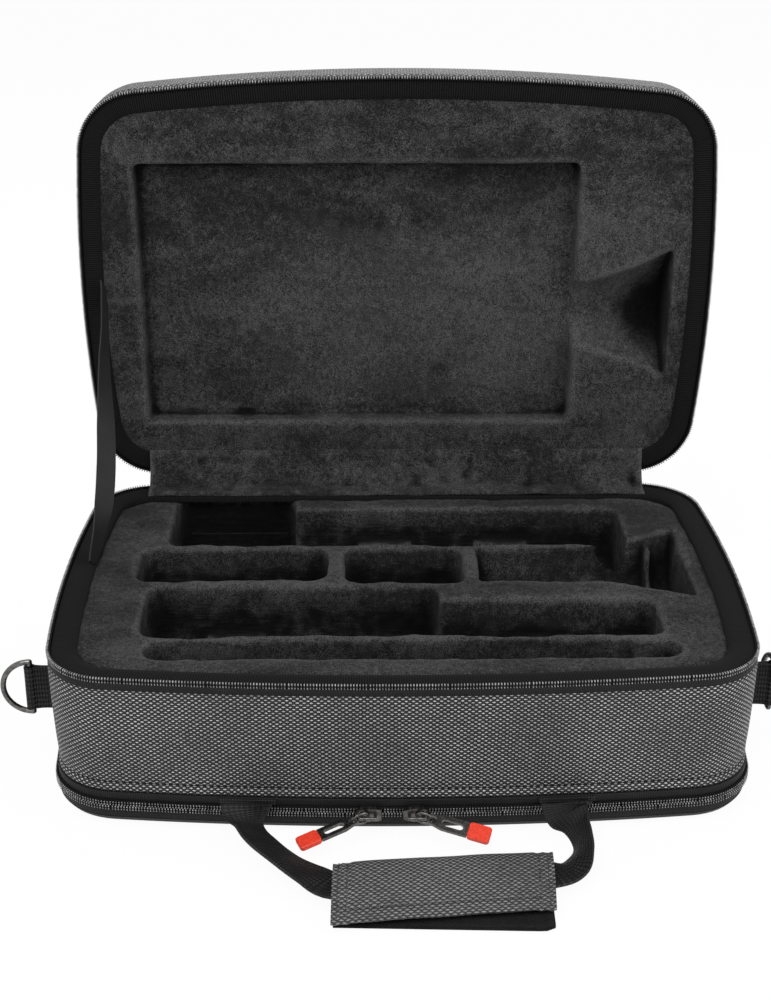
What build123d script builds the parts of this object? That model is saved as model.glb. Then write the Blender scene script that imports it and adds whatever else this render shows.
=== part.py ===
from build123d import *
import os
from functools import lru_cache
from math import asin, atan2, cos, degrees, hypot, radians, sin, sqrt

# Soft-sided clarinet case: a zipped clamshell with a moulded insert, an accessory
# pocket under the base, a webbing handle with a wrapped grip, and two strap rings.
# Millimetres.  +X runs along the case, +Y to the hinge, +Z up.  The origin lies on
# the resting face, under the middle of the plan outline.  The lid stands open.

# ---------------------------------------------------------------- plan outline
CASE_LENGTH = 368.0        # over the bowed ends
CASE_WIDTH = 231.0         # front corner line to the hinge edge
FRONT_BOW = 11.4           # how far the front wall swells past its corner line
SIDE_BOW = 7.1             # the same at each end
CORNER_RADIUS = 36.0

# ---------------------------------------------------------------- heights
ZIP_HEIGHT = 87.0          # where base and lid meet
LID_HEIGHT = 40.0          # from there to the top of the closed lid
POCKET_ZIP_HEIGHT = 13.0   # where the pocket flap meets the base
SEAM_HEIGHT = 20.0         # lower edge of the base's main fabric
WALL_LEAN = 2.4            # how far the base wall leans in at the seam
LID_LEAN = 1.6             # how far the lid wall leans in at its top
LID_EDGE_RADIUS = 11.0
POCKET_EDGE_RADIUS = 8.0

# ---------------------------------------------------------------- skins and walls
FABRIC = 1.2               # laminated nylon
TAPE = 0.9                 # zip tape
FOAM_WALL = 6.0            # expanded-foam shell walls
FOAM_FLOOR = 5.0           # expanded-foam shell floors
FIT = 0.1                  # between nested layers of one body
INSERT_FIT = 0.15          # moulded insert in its shell
MEETING_GAP = 0.3          # between pieces of different bodies that meet
BAND_WIDTH = 11.0          # knit band between the zip and the plush
BAND = 1.35                # its thickness
BOARD = 1.9                # stiff board between base and pocket
BOARD_DROP = 2.5           # its top below the fabric's lower edge
POCKET_SKIN = 2.4          # padded pocket panel

# ---------------------------------------------------------------- zips
COIL_WIDTH = 2.2           # through the wall
COIL_PROUD = 0.5           # past the outline
MAIN_COIL = 3.2            # height of one half of the main chain
MAIN_TAPE = 4.0            # height of the tape that shows beside it
MAIN_TAPE_INSET = 0.15
POCKET_COIL = 2.4          # height of one half of the pocket chain
POCKET_TAPE_INSET = 0.8
POCKET_COIL_PROUD = 1.1
HINGE_STRIP_INSET = 0.4    # pocket's hinge strip, behind the face of its tapes
POCKET_TAPE = 5.0          # height of the tape wall under the chain
MAIN_ZIP_SETBACK = 51.0    # chain ends at the hinge side, from the case's ends
POCKET_ZIP_SETBACK = 24.0  # the same on the pocket, round the corner from its hinge
RIM_DROP = 0.6             # shell rim behind the chain's edge

# ---------------------------------------------------------------- lid hinge
HINGE_SETBACK = 4.6        # axis behind the hinge edge of the outline
OPEN_ANGLE = 87.3
GUSSET_MARGIN = 3.0        # fabric strip outside the hinge, short of the chain's ends
GUSSET = 1.0
GUSSET_DROP = 22.0         # how far it is sewn down the base
GUSSET_REACH = 20.0        # how far it is sewn along the lid
GUSSET_SAG = 0.9           # how far its free edge hangs
LINING_SETBACK = 33.0      # plush strip inside the hinge, from the case's ends
LINING = 1.2
LINING_TUCK = 1.0          # its edges over the two bands

STAY_WIDTH = 12.0          # ribbon that stops the lid
STAY = 0.8
STAY_BASE_Y = 8.0          # sewn to the base's band
STAY_LID_S = 127.0         # sewn to the lid's band, from the hinge axis

# ---------------------------------------------------------------- moulded insert, base
CAVITY_CORNER = 9.0
CAVITY_WALL = 6.0          # least upright part of a cavity's wall
BELL_AXIS = (13.5, 78.0)   # Y, Z of the bell's axis, also for the lid's recess
BELL_START = 44.0          # X of the narrow end
BELL_THROAT = 20.0         # radius there
BELL_MOUTH_X = 160.0
BELL_MOUTH = 41.0          # radius at the rim
BELL_FLARE_X = 112.0       # X where the flare begins
BELL_FLARE = 23.0          # radius there
BELL_CURVE = 0.36          # share of the flare reached halfway to the rim
RIB_X = 143.5              # soft rib behind the bell's rim
RIB = 2.4
RIB_DEPTH = 6.0

# name, X from, X to, Y from, Y to, depth below the insert's top
STRAIGHT_CAVITIES = {
    "lower_joint": (-74.0, 131.0, 37.0, 86.0, 36.0),
    "lower_joint_keys": (-132.0, -61.0, 37.0, 104.0, 46.0),
    "mouthpiece": (-146.0, -40.0, -7.0, 33.0, 42.0),
    "barrel": (-31.0, 36.0, -10.0, 33.0, 40.0),
    "upper_joint": (-137.0, 20.0, -70.0, -14.0, 44.0),
    "upper_joint_end": (6.0, 136.0, -70.0, -31.0, 38.0),
    "accessories": (-132.0, 124.0, -93.0, -74.0, 26.0),
    "accessory_well": (114.0, 142.0, -93.0, -76.0, 38.0),
}
SADDLE_LENGTH = 32.0       # raised cradles that carry a joint's body
SADDLE_RISE = 16.0
BED = 0.7                  # radius of a saddle's bed, as a share of the cavity's
SADDLES = {"lower_joint": (-8.0, 62.0), "upper_joint": (-90.0,), "upper_joint_end": (76.0,)}

# ---------------------------------------------------------------- lid liner
RECESS_X = (-150.0, 104.0)
RECESS_S = (38.0, 197.0)   # distance from the hinge axis
RECESS_DEPTH = 12.0
RECESS_CORNER = 3.0
LINER_SKIN = 2.0           # left over the bell
LINER_CLEARANCE = 1.5      # round the bell, past the base's socket

# ---------------------------------------------------------------- zip sliders and pulls
SLIDER_LENGTH = 13.0
SLIDER_PLATE = 1.5
SLIDER_HALF_HEIGHT = 3.9
SLIDER_CORNER = 0.9
SLIDER_LIP = 0.9
BRIDGE = 1.5               # square bar of the slider's bridge
BRIDGE_SPAN = 7.0
BRIDGE_GAP = 2.1           # under the bridge
BRIDGE_ROOT = 0.5          # posts sunk in the plate
POCKET_SLIDER_X = (-18.0, 6.0)
LINK_WIRE = 1.3
LINK_LENGTH = 9.0
LINK_WIDTH = 6.8
PULL_LENGTH = 19.0         # metal frame, from the link to the tip
PULL_WIDTH = 8.6
PULL_THICKNESS = 1.7
PULL_EYE = 2.1             # radius
PULL_NECK = 6.2            # width round the eye
PULL_SLOT = 11.0
TIP_LENGTH = 11.5
TIP_WALL = 0.5             # moulded tip over the frame's outline
TIP_CORNER = 1.8
TIP_CHAMFER = 0.4
LINK_HEADING = (205.0, -20.0)   # left and right pocket link, degrees from +X
PULL_HEADING = (202.0, -14.0)
PULL_DROOP = (12.0, 10.0)
PULL_ROLL = (0.0, 18.0)
SLIDER_PARK = 8.0          # main sliders, from the chain's ends

# ---------------------------------------------------------------- strap rings
RING_WIRE = 3.0
RING_RADIUS = 14.8         # centre line of the bow, and half the bar
RING_BAR_OUT = 13.0        # bar from the case wall
RING_Y = -63.0
RING_HEIGHT = 49.0
RING_GAP = 0.3             # webbing loop round the bar
RING_HEADING = (180.0, 95.0)    # left and right bow, degrees from +X
TAB_WIDTH = 25.0
TAB_LAYER = 1.4

# ---------------------------------------------------------------- handle
ANCHOR_X = (-79.0, 81.0)
ANCHOR_WIDTH = 30.0
ANCHOR_HEIGHT = 2.4
WEBBING = 1.8
WEBBING_WIDTH = 22.0
GRIP_CENTRE = (17.5, -181.0)
GRIP_YAW = 4.3
GRIP_LENGTH = 106.0
GRIP_DEPTH = 37.0
GRIP_HEIGHT = 15.0
GRIP_LIP = 5.4             # height of the wrap's front edge
WRAP = 2.2
WRAP_UNDER = 20.0          # depth of the wrap's lower layer
WRAP_SAG = 2.2             # hollow of its upper layer
WRAP_BEVEL = 1.2           # its front edge, leaning back
HOOK_FRONT = (15.5, 27.0)  # hook strip's front edge from the grip's centre, left and right
CORE_WIDTH = 20.0          # webbing inside the grip
CORE_HEIGHT = 7.5
CORE_SETBACK = 5.6         # behind the grip's middle
ARM_MARGIN = 2.0           # webbing narrower than its anchor, each side
# Route of each arm from its anchor to the grip: point, direction across the webbing
ARM_ROUTES = (
    (
        ((-78.0, -140.0, 19.2), (0.80, 0.52, -0.20)),
        ((-69.5, -155.0, 15.2), (0.50, 0.85, -0.16)),
        ((-58.5, -164.5, 12.2), (0.34, 0.93, -0.14)),
        ((-47.0, -172.0, 9.8), (0.12, 0.99, 0.0)),
    ),
    (
        ((84.5, -138.5, 18.8), (0.95, 0.10, -0.15)),
        ((89.5, -152.5, 14.8), (0.80, -0.35, -0.30)),
        ((87.0, -165.0, 11.6), (0.55, -0.80, -0.20)),
        ((79.5, -173.5, 9.4), (0.20, -0.98, 0.0)),
    ),
)


# ================================================================ plan and wall helpers
HALF_LENGTH = CASE_LENGTH / 2 - SIDE_BOW
HALF_WIDTH = CASE_WIDTH / 2
HINGE_Y = HALF_WIDTH + HINGE_SETBACK
BOW_RADIUS = (HALF_LENGTH ** 2 + FRONT_BOW ** 2) / (2 * FRONT_BOW)
BOW_CENTRE_Y = -HALF_WIDTH - FRONT_BOW + BOW_RADIUS
SIDE_BOW_RADIUS = (HALF_WIDTH ** 2 + SIDE_BOW ** 2) / (2 * SIDE_BOW)
SIDE_CENTRE_X = HALF_LENGTH + SIDE_BOW - SIDE_BOW_RADIUS

BASE_FABRIC_TOP = ZIP_HEIGHT - MEETING_GAP / 2 - MAIN_COIL - MAIN_TAPE
BASE_COIL_BOTTOM = ZIP_HEIGHT - MEETING_GAP / 2 - MAIN_COIL
LID_COIL_TOP = ZIP_HEIGHT + MEETING_GAP / 2 + MAIN_COIL
LID_FABRIC_BOTTOM = LID_COIL_TOP + MAIN_TAPE
LID_TOP = ZIP_HEIGHT + LID_HEIGHT
SHELL_INSET = FABRIC + FIT
INSERT_INSET = SHELL_INSET + FOAM_WALL + INSERT_FIT
BASE_RIM = BASE_COIL_BOTTOM - RIM_DROP
LID_RIM = LID_COIL_TOP + RIM_DROP
BOARD_TOP = SEAM_HEIGHT - BOARD_DROP
MAIN_ZIP_END = CASE_LENGTH / 2 - MAIN_ZIP_SETBACK
POCKET_ZIP_END = CASE_LENGTH / 2 - POCKET_ZIP_SETBACK
SHELL_BOTTOM = BOARD_TOP + FIT
INSERT_BOTTOM = SHELL_BOTTOM + FOAM_FLOOR + FIT
HINGE_AXIS = Axis((0, HINGE_Y, ZIP_HEIGHT), (1, 0, 0))


def front_y(x):
    """Y of the front wall's outline at x."""
    return BOW_CENTRE_Y - sqrt(BOW_RADIUS ** 2 - x ** 2)


def side_x(y):
    """Distance of the end wall's outline from the middle at y."""
    return SIDE_CENTRE_X + sqrt(SIDE_BOW_RADIUS ** 2 - y ** 2)


def corner_centres():
    """Centres of the front right and the back right corner of the plan outline."""
    front_reach, side_reach = BOW_RADIUS - CORNER_RADIUS, SIDE_BOW_RADIUS - CORNER_RADIUS
    apart = hypot(SIDE_CENTRE_X, BOW_CENTRE_Y)
    along = (front_reach ** 2 - side_reach ** 2 + apart ** 2) / (2 * apart)
    off = sqrt(front_reach ** 2 - along ** 2)
    ux, uy = SIDE_CENTRE_X / apart, -BOW_CENTRE_Y / apart
    front = (along * ux - off * uy, BOW_CENTRE_Y + along * uy + off * ux)
    other = (along * ux + off * uy, BOW_CENTRE_Y + along * uy - off * ux)
    front = max(front, other)
    back_y = HALF_WIDTH - CORNER_RADIUS
    back = (SIDE_CENTRE_X + sqrt(side_reach ** 2 - back_y ** 2), back_y)
    return front, back


def toward(origin, target, distance):
    """Point at a distance from origin, in the direction of target."""
    dx, dy = target[0] - origin[0], target[1] - origin[1]
    return (origin[0] + dx * distance / hypot(dx, dy), origin[1] + dy * distance / hypot(dx, dy))


def arc_middle(centre, radius, start, end):
    """Middle of the arc round centre from start to end."""
    turns = [atan2(point[1] - centre[1], point[0] - centre[0]) for point in (start, end)]
    swing = sum(turns) / 2
    return (centre[0] + radius * cos(swing), centre[1] + radius * sin(swing))


@lru_cache(maxsize=None)
def outline(inset):
    """Plan outline of the case, moved inwards by inset: bowed walls with round corners."""
    front, back = corner_centres()
    front_centre = (0, BOW_CENTRE_Y)
    side_centre = (SIDE_CENTRE_X, 0)
    corner = CORNER_RADIUS - inset
    bow_end = toward(front_centre, front, BOW_RADIUS - inset)
    side_start = toward(side_centre, front, SIDE_BOW_RADIUS - inset)
    side_end = toward(side_centre, back, SIDE_BOW_RADIUS - inset)
    back_end = (back[0], back[1] + corner)
    front_middle = arc_middle(front, corner, bow_end, side_start)
    back_middle = arc_middle(back, corner, side_end, back_end)
    side_middle = (HALF_LENGTH + SIDE_BOW - inset, 0)

    def left(point):
        return (-point[0], point[1])

    return make_face([
        ThreePointArc(left(bow_end), (0, front_y(0) + inset), bow_end),
        ThreePointArc(bow_end, front_middle, side_start),
        ThreePointArc(side_start, side_middle, side_end),
        ThreePointArc(side_end, back_middle, back_end),
        Line(back_end, left(back_end)),
        ThreePointArc(left(back_end), left(back_middle), left(side_end)),
        ThreePointArc(left(side_end), left(side_middle), left(side_start)),
        ThreePointArc(left(side_start), left(front_middle), left(bow_end)),
    ])


def block(low_inset, low, high_inset, high):
    """Solid between two heights, with its own outline inset at each."""
    if abs(low_inset - high_inset) < 1e-6:
        return extrude(Pos(0, 0, low) * outline(low_inset), high - low)
    sections = [Pos(0, 0, low) * outline(low_inset), Pos(0, 0, high) * outline(high_inset)]
    return loft(sections, ruled=True)


def ring(outer, inner, low, high):
    """Band that follows the outline between two insets and two heights."""
    return block(outer, low, outer, high) - block(inner, low - 1, inner, high + 1)


def base_lean(z):
    """Inset of the base fabric's outer face at height z."""
    return WALL_LEAN * (BASE_FABRIC_TOP - z) / (BASE_FABRIC_TOP - SEAM_HEIGHT)


def lid_lean(z):
    """Inset of the lid fabric's outer face at height z, lid closed."""
    return LID_LEAN * (z - LID_FABRIC_BOTTOM) / (LID_TOP - LID_FABRIC_BOTTOM)


def base_block(inset, low, high):
    """Solid parallel to the leaning base wall, inset from it."""
    return block(base_lean(low) + inset, low, base_lean(high) + inset, high)


def lid_block(inset, low, high):
    """Solid parallel to the leaning lid wall, inset from it, lid closed."""
    return block(lid_lean(low) + inset, low, lid_lean(high) + inset, high)


def rear_box(half_length, low, high):
    """Box that clears a hinge-side stretch of a band."""
    depth = 40.0
    return Pos(0, HALF_WIDTH, (low + high) / 2) * Box(2 * half_length, depth, high - low)


def opened(part):
    """A lid piece, modelled closed, at its open rest."""
    return part.rotate(HINGE_AXIS, -OPEN_ANGLE)


def rounded_slot(x0, x1, y0, y1, corner):
    """Plan of a cavity with rounded corners."""
    radius = min(corner, (x1 - x0) / 2 - 0.5, (y1 - y0) / 2 - 0.5)
    return Pos((x0 + x1) / 2, (y0 + y1) / 2) * RectangleRounded(x1 - x0, y1 - y0, radius)


# ================================================================ base
def base_fabric():
    """Nylon skin round the base wall, open at top and bottom."""
    outer = base_block(0, SEAM_HEIGHT, BASE_FABRIC_TOP)
    return outer - base_block(FABRIC, SEAM_HEIGHT - 1, BASE_FABRIC_TOP + 1)


def base_shell():
    """Expanded-foam tub."""
    tub = base_block(SHELL_INSET, SHELL_BOTTOM, BASE_RIM)
    room = base_block(SHELL_INSET + FOAM_WALL, SHELL_BOTTOM + FOAM_FLOOR, BASE_RIM + 1)
    return tub - room


def bell_half(start, throat, extra):
    """Half section of the bell, in X and radius, from its narrow end to its rim."""
    flare, mouth, end = BELL_FLARE + extra, BELL_MOUTH + extra, BELL_MOUTH_X + extra
    waist = flare + (mouth - flare) * BELL_CURVE
    return make_face([
        Line((start, 0), (start, throat)),
        Line((start, throat), (BELL_FLARE_X, flare)),
        ThreePointArc((BELL_FLARE_X, flare), ((BELL_FLARE_X + BELL_MOUTH_X) / 2, waist), (end, mouth)),
        Line((end, mouth), (end, 0)),
        Line((end, 0), (start, 0)),
    ])


def bell_cutter(extra, axis_z, top):
    """Flared socket for the bell: turned below its axis, straight above it."""
    half = bell_half(BELL_START - extra, BELL_THROAT + extra, extra)
    turned = revolve(half, Axis.X, 360)
    plan = half + mirror(half, Plane.XZ)
    raised = extrude(plan, top - axis_z)
    return Pos(0, BELL_AXIS[0], axis_z) * (turned + raised)


def u_trough(x0, x1, y0, y1, low, high, radius):
    """Channel along X with rounded lower edges."""
    section = Rectangle(y1 - y0, high - low)
    section = fillet(section.vertices().group_by(Axis.Y)[0], radius)
    run = extrude(Plane.YZ * section, x1 - x0)
    return Pos(x0, (y0 + y1) / 2, (low + high) / 2) * run


def cavity(name, top):
    """Trough with a rounded floor, with saddles where a joint's body rests."""
    x0, x1, y0, y1, depth = STRAIGHT_CAVITIES[name]
    floor = top - depth
    radius = min((y1 - y0) / 2 - 0.5, depth - CAVITY_WALL)
    plan = rounded_slot(x0, x1, y0, y1, CAVITY_CORNER)
    trough = extrude(Pos(0, 0, floor) * plan, depth + 1)
    trough = trough & u_trough(x0 - 1, x1 + 1, y0, y1, floor, top + 1, radius)
    for x in SADDLES.get(name, ()):
        foot = Pos(x, (y0 + y1) / 2, floor)
        saddle = foot * Pos(0, 0, SADDLE_RISE / 2) * Box(SADDLE_LENGTH, y1 - y0 + 2, SADDLE_RISE)
        bed = Rot(0, 90, 0) * Cylinder(radius * BED, SADDLE_LENGTH + 2)
        trough = trough - (saddle - foot * Pos(0, 0, SADDLE_RISE + radius * (1 - BED)) * bed)
    return trough


def base_insert():
    """Moulded, plush-covered insert with a place for each piece of the instrument."""
    top = BASE_RIM
    body = base_block(INSERT_INSET, INSERT_BOTTOM, top)
    for name in STRAIGHT_CAVITIES:
        body = body - cavity(name, top)
    body = body - bell_cutter(0, BELL_AXIS[1], top + 1)
    place = Pos(RIB_X, *BELL_AXIS)
    rib = Cylinder(BELL_MOUTH - RIB_DEPTH / 2, RIB) - Cylinder(BELL_FLARE + 1, RIB + 1)
    lower_half = Pos(0, 0, -BELL_MOUTH) * Box(RIB, 2 * BELL_MOUTH, 2 * BELL_MOUTH)
    rib = place * ((Rot(0, 90, 0) * rib) & lower_half)
    return body + (rib & bell_cutter(0.5, BELL_AXIS[1], top))


def base_rim_band():
    """Knit band on the rim, between the chain and the plush."""
    outer = COIL_WIDTH - COIL_PROUD + FIT
    return ring(outer, outer + BAND_WIDTH, BASE_RIM + FIT / 2, BASE_RIM + FIT / 2 + BAND)


def base_zip_tape():
    """Tape of the base's half of the main zip."""
    low, high = BASE_FABRIC_TOP + FIT / 2, BASE_COIL_BOTTOM - FIT / 2
    band = ring(MAIN_TAPE_INSET, MAIN_TAPE_INSET + TAPE, low, high)
    return band - rear_box(MAIN_ZIP_END, low - 1, high + 1)


def base_zip_coil():
    """Base's half of the main chain."""
    band = ring(-COIL_PROUD, COIL_WIDTH - COIL_PROUD, BASE_COIL_BOTTOM, ZIP_HEIGHT - MEETING_GAP / 2)
    return band - rear_box(MAIN_ZIP_END, BASE_COIL_BOTTOM - 1, ZIP_HEIGHT + 1)


# ================================================================ pocket under the base
POCKET_COIL_TOP = POCKET_ZIP_HEIGHT + MEETING_GAP / 2 + POCKET_COIL
POCKET_COIL_BOTTOM = POCKET_ZIP_HEIGHT - MEETING_GAP / 2 - POCKET_COIL
POCKET_PANEL_TOP = POCKET_COIL_BOTTOM - POCKET_TAPE


def pocket_board():
    """Board that floors the base and roofs the pocket."""
    return base_block(SHELL_INSET, BOARD_TOP - BOARD, BOARD_TOP)


def pocket_upper_tape():
    """Black band between the main fabric and the pocket chain."""
    inner = base_lean(BOARD_TOP - BOARD) + SHELL_INSET - 3 * FIT
    return ring(POCKET_TAPE_INSET, inner, POCKET_COIL_TOP + FIT / 2, SEAM_HEIGHT - FIT / 2)


def pocket_chain(low, high):
    """One half of the pocket chain, along the front and the ends."""
    band = ring(-POCKET_COIL_PROUD, COIL_WIDTH - POCKET_COIL_PROUD, low, high)
    return band - rear_box(POCKET_ZIP_END, low - 1, high + 1)


def pocket_tray():
    """Outer form of the pocket flap, hollow, open at the top."""
    top = POCKET_COIL_BOTTOM - FIT / 2
    solid = block(POCKET_TAPE_INSET, 0, POCKET_TAPE_INSET, top)
    solid = fillet(solid.edges().group_by(Axis.Z)[0], POCKET_EDGE_RADIUS)
    inner_inset = POCKET_TAPE_INSET + POCKET_SKIN
    inner = block(inner_inset, POCKET_SKIN, inner_inset, top + 1)
    inner = fillet(inner.edges().group_by(Axis.Z)[0], POCKET_EDGE_RADIUS - POCKET_SKIN / 2)
    return solid - inner


def pocket_panel():
    """Padded nylon panel that closes the pocket."""
    return pocket_tray() & block(-5, -1, -5, POCKET_PANEL_TOP - FIT / 2)


def pocket_lower_tape():
    """Tape wall of the pocket flap."""
    return pocket_tray() & block(-5, POCKET_PANEL_TOP + FIT / 2, -5, ZIP_HEIGHT)


def pocket_hinge_strip():
    """Fabric strip that hinges the pocket flap along the back."""
    outer = POCKET_TAPE_INSET + HINGE_STRIP_INSET
    strip = ring(outer, outer + FABRIC, POCKET_COIL_BOTTOM + FIT, POCKET_COIL_TOP - FIT)
    return strip & rear_box(POCKET_ZIP_END - POCKET_COIL, 0, ZIP_HEIGHT)


# ================================================================ lid, modelled closed
def lid_form(inset, low, high, edge):
    """Lid block with a rounded top edge."""
    form = lid_block(inset, low, high)
    return fillet(form.edges().group_by(Axis.Z)[-1], edge)


def lid_fabric():
    """Nylon skin of the lid."""
    outer = lid_form(0, LID_FABRIC_BOTTOM, LID_TOP, LID_EDGE_RADIUS)
    inner = lid_form(FABRIC, LID_FABRIC_BOTTOM - 1, LID_TOP - FABRIC, LID_EDGE_RADIUS - FABRIC)
    return outer - inner


def lid_shell():
    """Expanded-foam shell of the lid."""
    outer = lid_form(SHELL_INSET, LID_RIM, LID_TOP - SHELL_INSET, LID_EDGE_RADIUS - SHELL_INSET)
    room = lid_block(SHELL_INSET + FOAM_WALL, LID_RIM - 1, LID_TOP - SHELL_INSET - FOAM_FLOOR)
    return outer - room


def lid_liner():
    """Moulded, plush-covered liner with a flat recess and the bell's upper socket."""
    top = LID_TOP - SHELL_INSET - FOAM_FLOOR - INSERT_FIT
    body = lid_block(INSERT_INSET, LID_RIM, top)
    y_near, y_far = HINGE_Y - RECESS_S[1], HINGE_Y - RECESS_S[0]
    plan = rounded_slot(RECESS_X[0], RECESS_X[1], y_near, y_far, RECESS_CORNER)
    recess = extrude(Pos(0, 0, LID_RIM - 1) * plan, RECESS_DEPTH + 1)
    section = bell_half(RECESS_X[1] - 1, BELL_FLARE + LINER_CLEARANCE, LINER_CLEARANCE)
    socket = Pos(0, BELL_AXIS[0], BELL_AXIS[1]) * revolve(section, Axis.X, 360)
    room = Box(2 * CASE_LENGTH, 2 * CASE_WIDTH, 2 * LID_HEIGHT, align=(Align.CENTER, Align.CENTER, Align.MAX))
    return body - recess - (socket & Pos(0, 0, top - LINER_SKIN) * room)


def lid_rim_band():
    """Knit band on the lid's rim."""
    outer = COIL_WIDTH - COIL_PROUD + FIT
    return ring(outer, outer + BAND_WIDTH, LID_RIM - FIT / 2 - BAND, LID_RIM - FIT / 2)


def lid_zip_tape():
    """Tape of the lid's half of the main zip."""
    low, high = LID_COIL_TOP + FIT / 2, LID_FABRIC_BOTTOM - FIT / 2
    band = ring(MAIN_TAPE_INSET, MAIN_TAPE_INSET + TAPE, low, high)
    return band - rear_box(MAIN_ZIP_END, low - 1, high + 1)


def lid_zip_coil():
    """Lid's half of the main chain."""
    band = ring(-COIL_PROUD, COIL_WIDTH - COIL_PROUD, ZIP_HEIGHT + MEETING_GAP / 2, LID_COIL_TOP)
    return band - rear_box(MAIN_ZIP_END, ZIP_HEIGHT - 1, LID_COIL_TOP + 1)


# ================================================================ soft strips across the hinge
def hinge_gusset():
    """Nylon strip outside the hinge, sewn down the base and along the open lid."""
    face_y = HALF_WIDTH + MEETING_GAP
    under = ZIP_HEIGHT + HINGE_SETBACK - MEETING_GAP - GUSSET
    low, edge = ZIP_HEIGHT - GUSSET_DROP, under - GUSSET_SAG
    section = make_face(Polyline(
        (face_y, low),
        (face_y, ZIP_HEIGHT - 2 * GUSSET),
        (HINGE_Y + GUSSET, under),
        (HINGE_Y + GUSSET_REACH, edge),
        (HINGE_Y + GUSSET_REACH, edge - GUSSET),
        (HINGE_Y + 1.5 * GUSSET, under - GUSSET),
        (face_y + GUSSET, ZIP_HEIGHT - 3 * GUSSET),
        (face_y + GUSSET, low),
        close=True))
    span = 2 * (MAIN_ZIP_END - GUSSET_MARGIN)
    return Pos(-span / 2, 0, 0) * extrude(Plane.YZ * section, span)


def hinge_lining():
    """Plush strip inside the hinge, from the base's band up to the lid's band."""
    low_y = HALF_WIDTH - BAND_WIDTH + LINING_TUCK
    low_z = BASE_RIM + BAND + 3 * FIT
    high_y, high_z = HINGE_Y + 1.4, ZIP_HEIGHT + HINGE_SETBACK + BAND_WIDTH - LINING_TUCK
    section = make_face(Polyline(
        (low_y, low_z), (low_y + 5.0, low_z), (high_y - 3.0, high_z - 9.0), (high_y, high_z),
        (high_y - LINING, high_z), (high_y - 4.6, high_z - 8.0), (low_y + 3.5, low_z + LINING),
        (low_y, low_z + LINING), close=True))
    span = CASE_LENGTH - 2 * LINING_SETBACK
    return Pos(-span / 2, 0, 0) * extrude(Plane.YZ * section, span)


def stay_ribbon():
    """Ribbon that stops the lid, straight from base to lid when it is open."""
    angle = radians(OPEN_ANGLE)
    base_y, base_z = STAY_BASE_Y, BASE_RIM + BAND + 2 * MEETING_GAP
    run_y = HINGE_Y - STAY_LID_S * cos(angle) - 2 * BAND - base_y
    run_z = ZIP_HEIGHT + STAY_LID_S * sin(angle) - base_z
    strip = Box(STAY, hypot(run_y, run_z), STAY_WIDTH, align=(Align.CENTER, Align.MIN, Align.MIN))
    x = -side_x(base_y) + COIL_WIDTH + BAND_WIDTH / 2
    return Pos(x, base_y, base_z) * Rot(degrees(atan2(run_z, run_y)), 0, 0) * strip


# ================================================================ zip sliders and pulls
def chain_point(x, out):
    """Point at x that lies out from the front wall's outline, square to it."""
    turn = asin(x / BOW_RADIUS)
    return x + out * sin(turn), front_y(x) - out * cos(turn)


def front_frame(x, z):
    """Frame on the front outline: X along the wall, Y up, Z outwards."""
    turn = asin(x / BOW_RADIUS)
    along, outwards = (cos(turn), sin(turn), 0), (sin(turn), -cos(turn), 0)
    return Plane(origin=(x, front_y(x), z), x_dir=along, z_dir=outwards)


def rear_frame(x, z):
    """Frame on the rear outline: X along the wall, Y up, Z outwards."""
    return Plane(origin=(x, HALF_WIDTH, z), x_dir=(-1, 0, 0), z_dir=(0, 1, 0))


def slider(proud, tape_inset, low, high, lip_edge):
    """Slider on a chain that stands proud of the outline: plate, lip and bridge."""
    inner = proud + MEETING_GAP
    half = SLIDER_LENGTH / 2
    waist = (high - low) * 0.16
    shape = make_face(Polyline(
        (-half, low + waist), (-half, high - waist), (-half * 0.2, high), (half, high - waist / 2),
        (half, low + waist / 2), (-half * 0.2, low), close=True))
    shape = fillet(shape.vertices(), SLIDER_CORNER)
    plate = extrude(Pos(0, 0, inner) * shape, SLIDER_PLATE)
    lip_root = SLIDER_PLATE / 6
    lip_y = lip_edge - SLIDER_LIP / 2 if lip_edge > 0 else lip_edge + SLIDER_LIP / 2
    lip_bar = Box(SLIDER_LENGTH * 0.6, SLIDER_LIP, inner + tape_inset - MEETING_GAP + lip_root,
                  align=(Align.CENTER, Align.CENTER, Align.MAX))
    lip = Pos(0, lip_y, inner + lip_root) * lip_bar
    top = inner + SLIDER_PLATE
    middle = (low + high) / 2
    post_height = BRIDGE_GAP + BRIDGE / 2 + BRIDGE_ROOT
    post = Box(BRIDGE, BRIDGE, post_height, align=(Align.CENTER, Align.CENTER, Align.MIN))
    span = BRIDGE_SPAN / 2
    foot = top - BRIDGE_ROOT
    posts = Pos(-span, middle, foot) * post + Pos(span, middle, foot) * post
    beam = Rot(0, 90, 0) * Cylinder(BRIDGE / 2, BRIDGE_SPAN + BRIDGE)
    return plate + lip + posts + Pos(0, middle, top + BRIDGE_GAP + BRIDGE / 2) * beam


def loop_link():
    """Closed wire loop in the XY plane: one bend at the origin, the other along +X."""
    radius = (LINK_WIDTH - LINK_WIRE) / 2
    reach = LINK_LENGTH - LINK_WIRE
    wire = LINK_WIRE / 2
    rail = Pos(reach / 2, 0) * Rot(0, 90, 0) * Cylinder(wire, reach - 2 * radius)
    bend = Rot(0, 0, 90) * revolve(Plane.XZ * Pos(radius, 0) * Circle(wire), Axis.Z, 180)
    near = Pos(radius, 0) * bend
    far = Pos(reach - radius, 0) * Rot(0, 0, 180) * bend
    return near + far + Pos(0, radius) * rail + Pos(0, -radius) * rail


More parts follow.
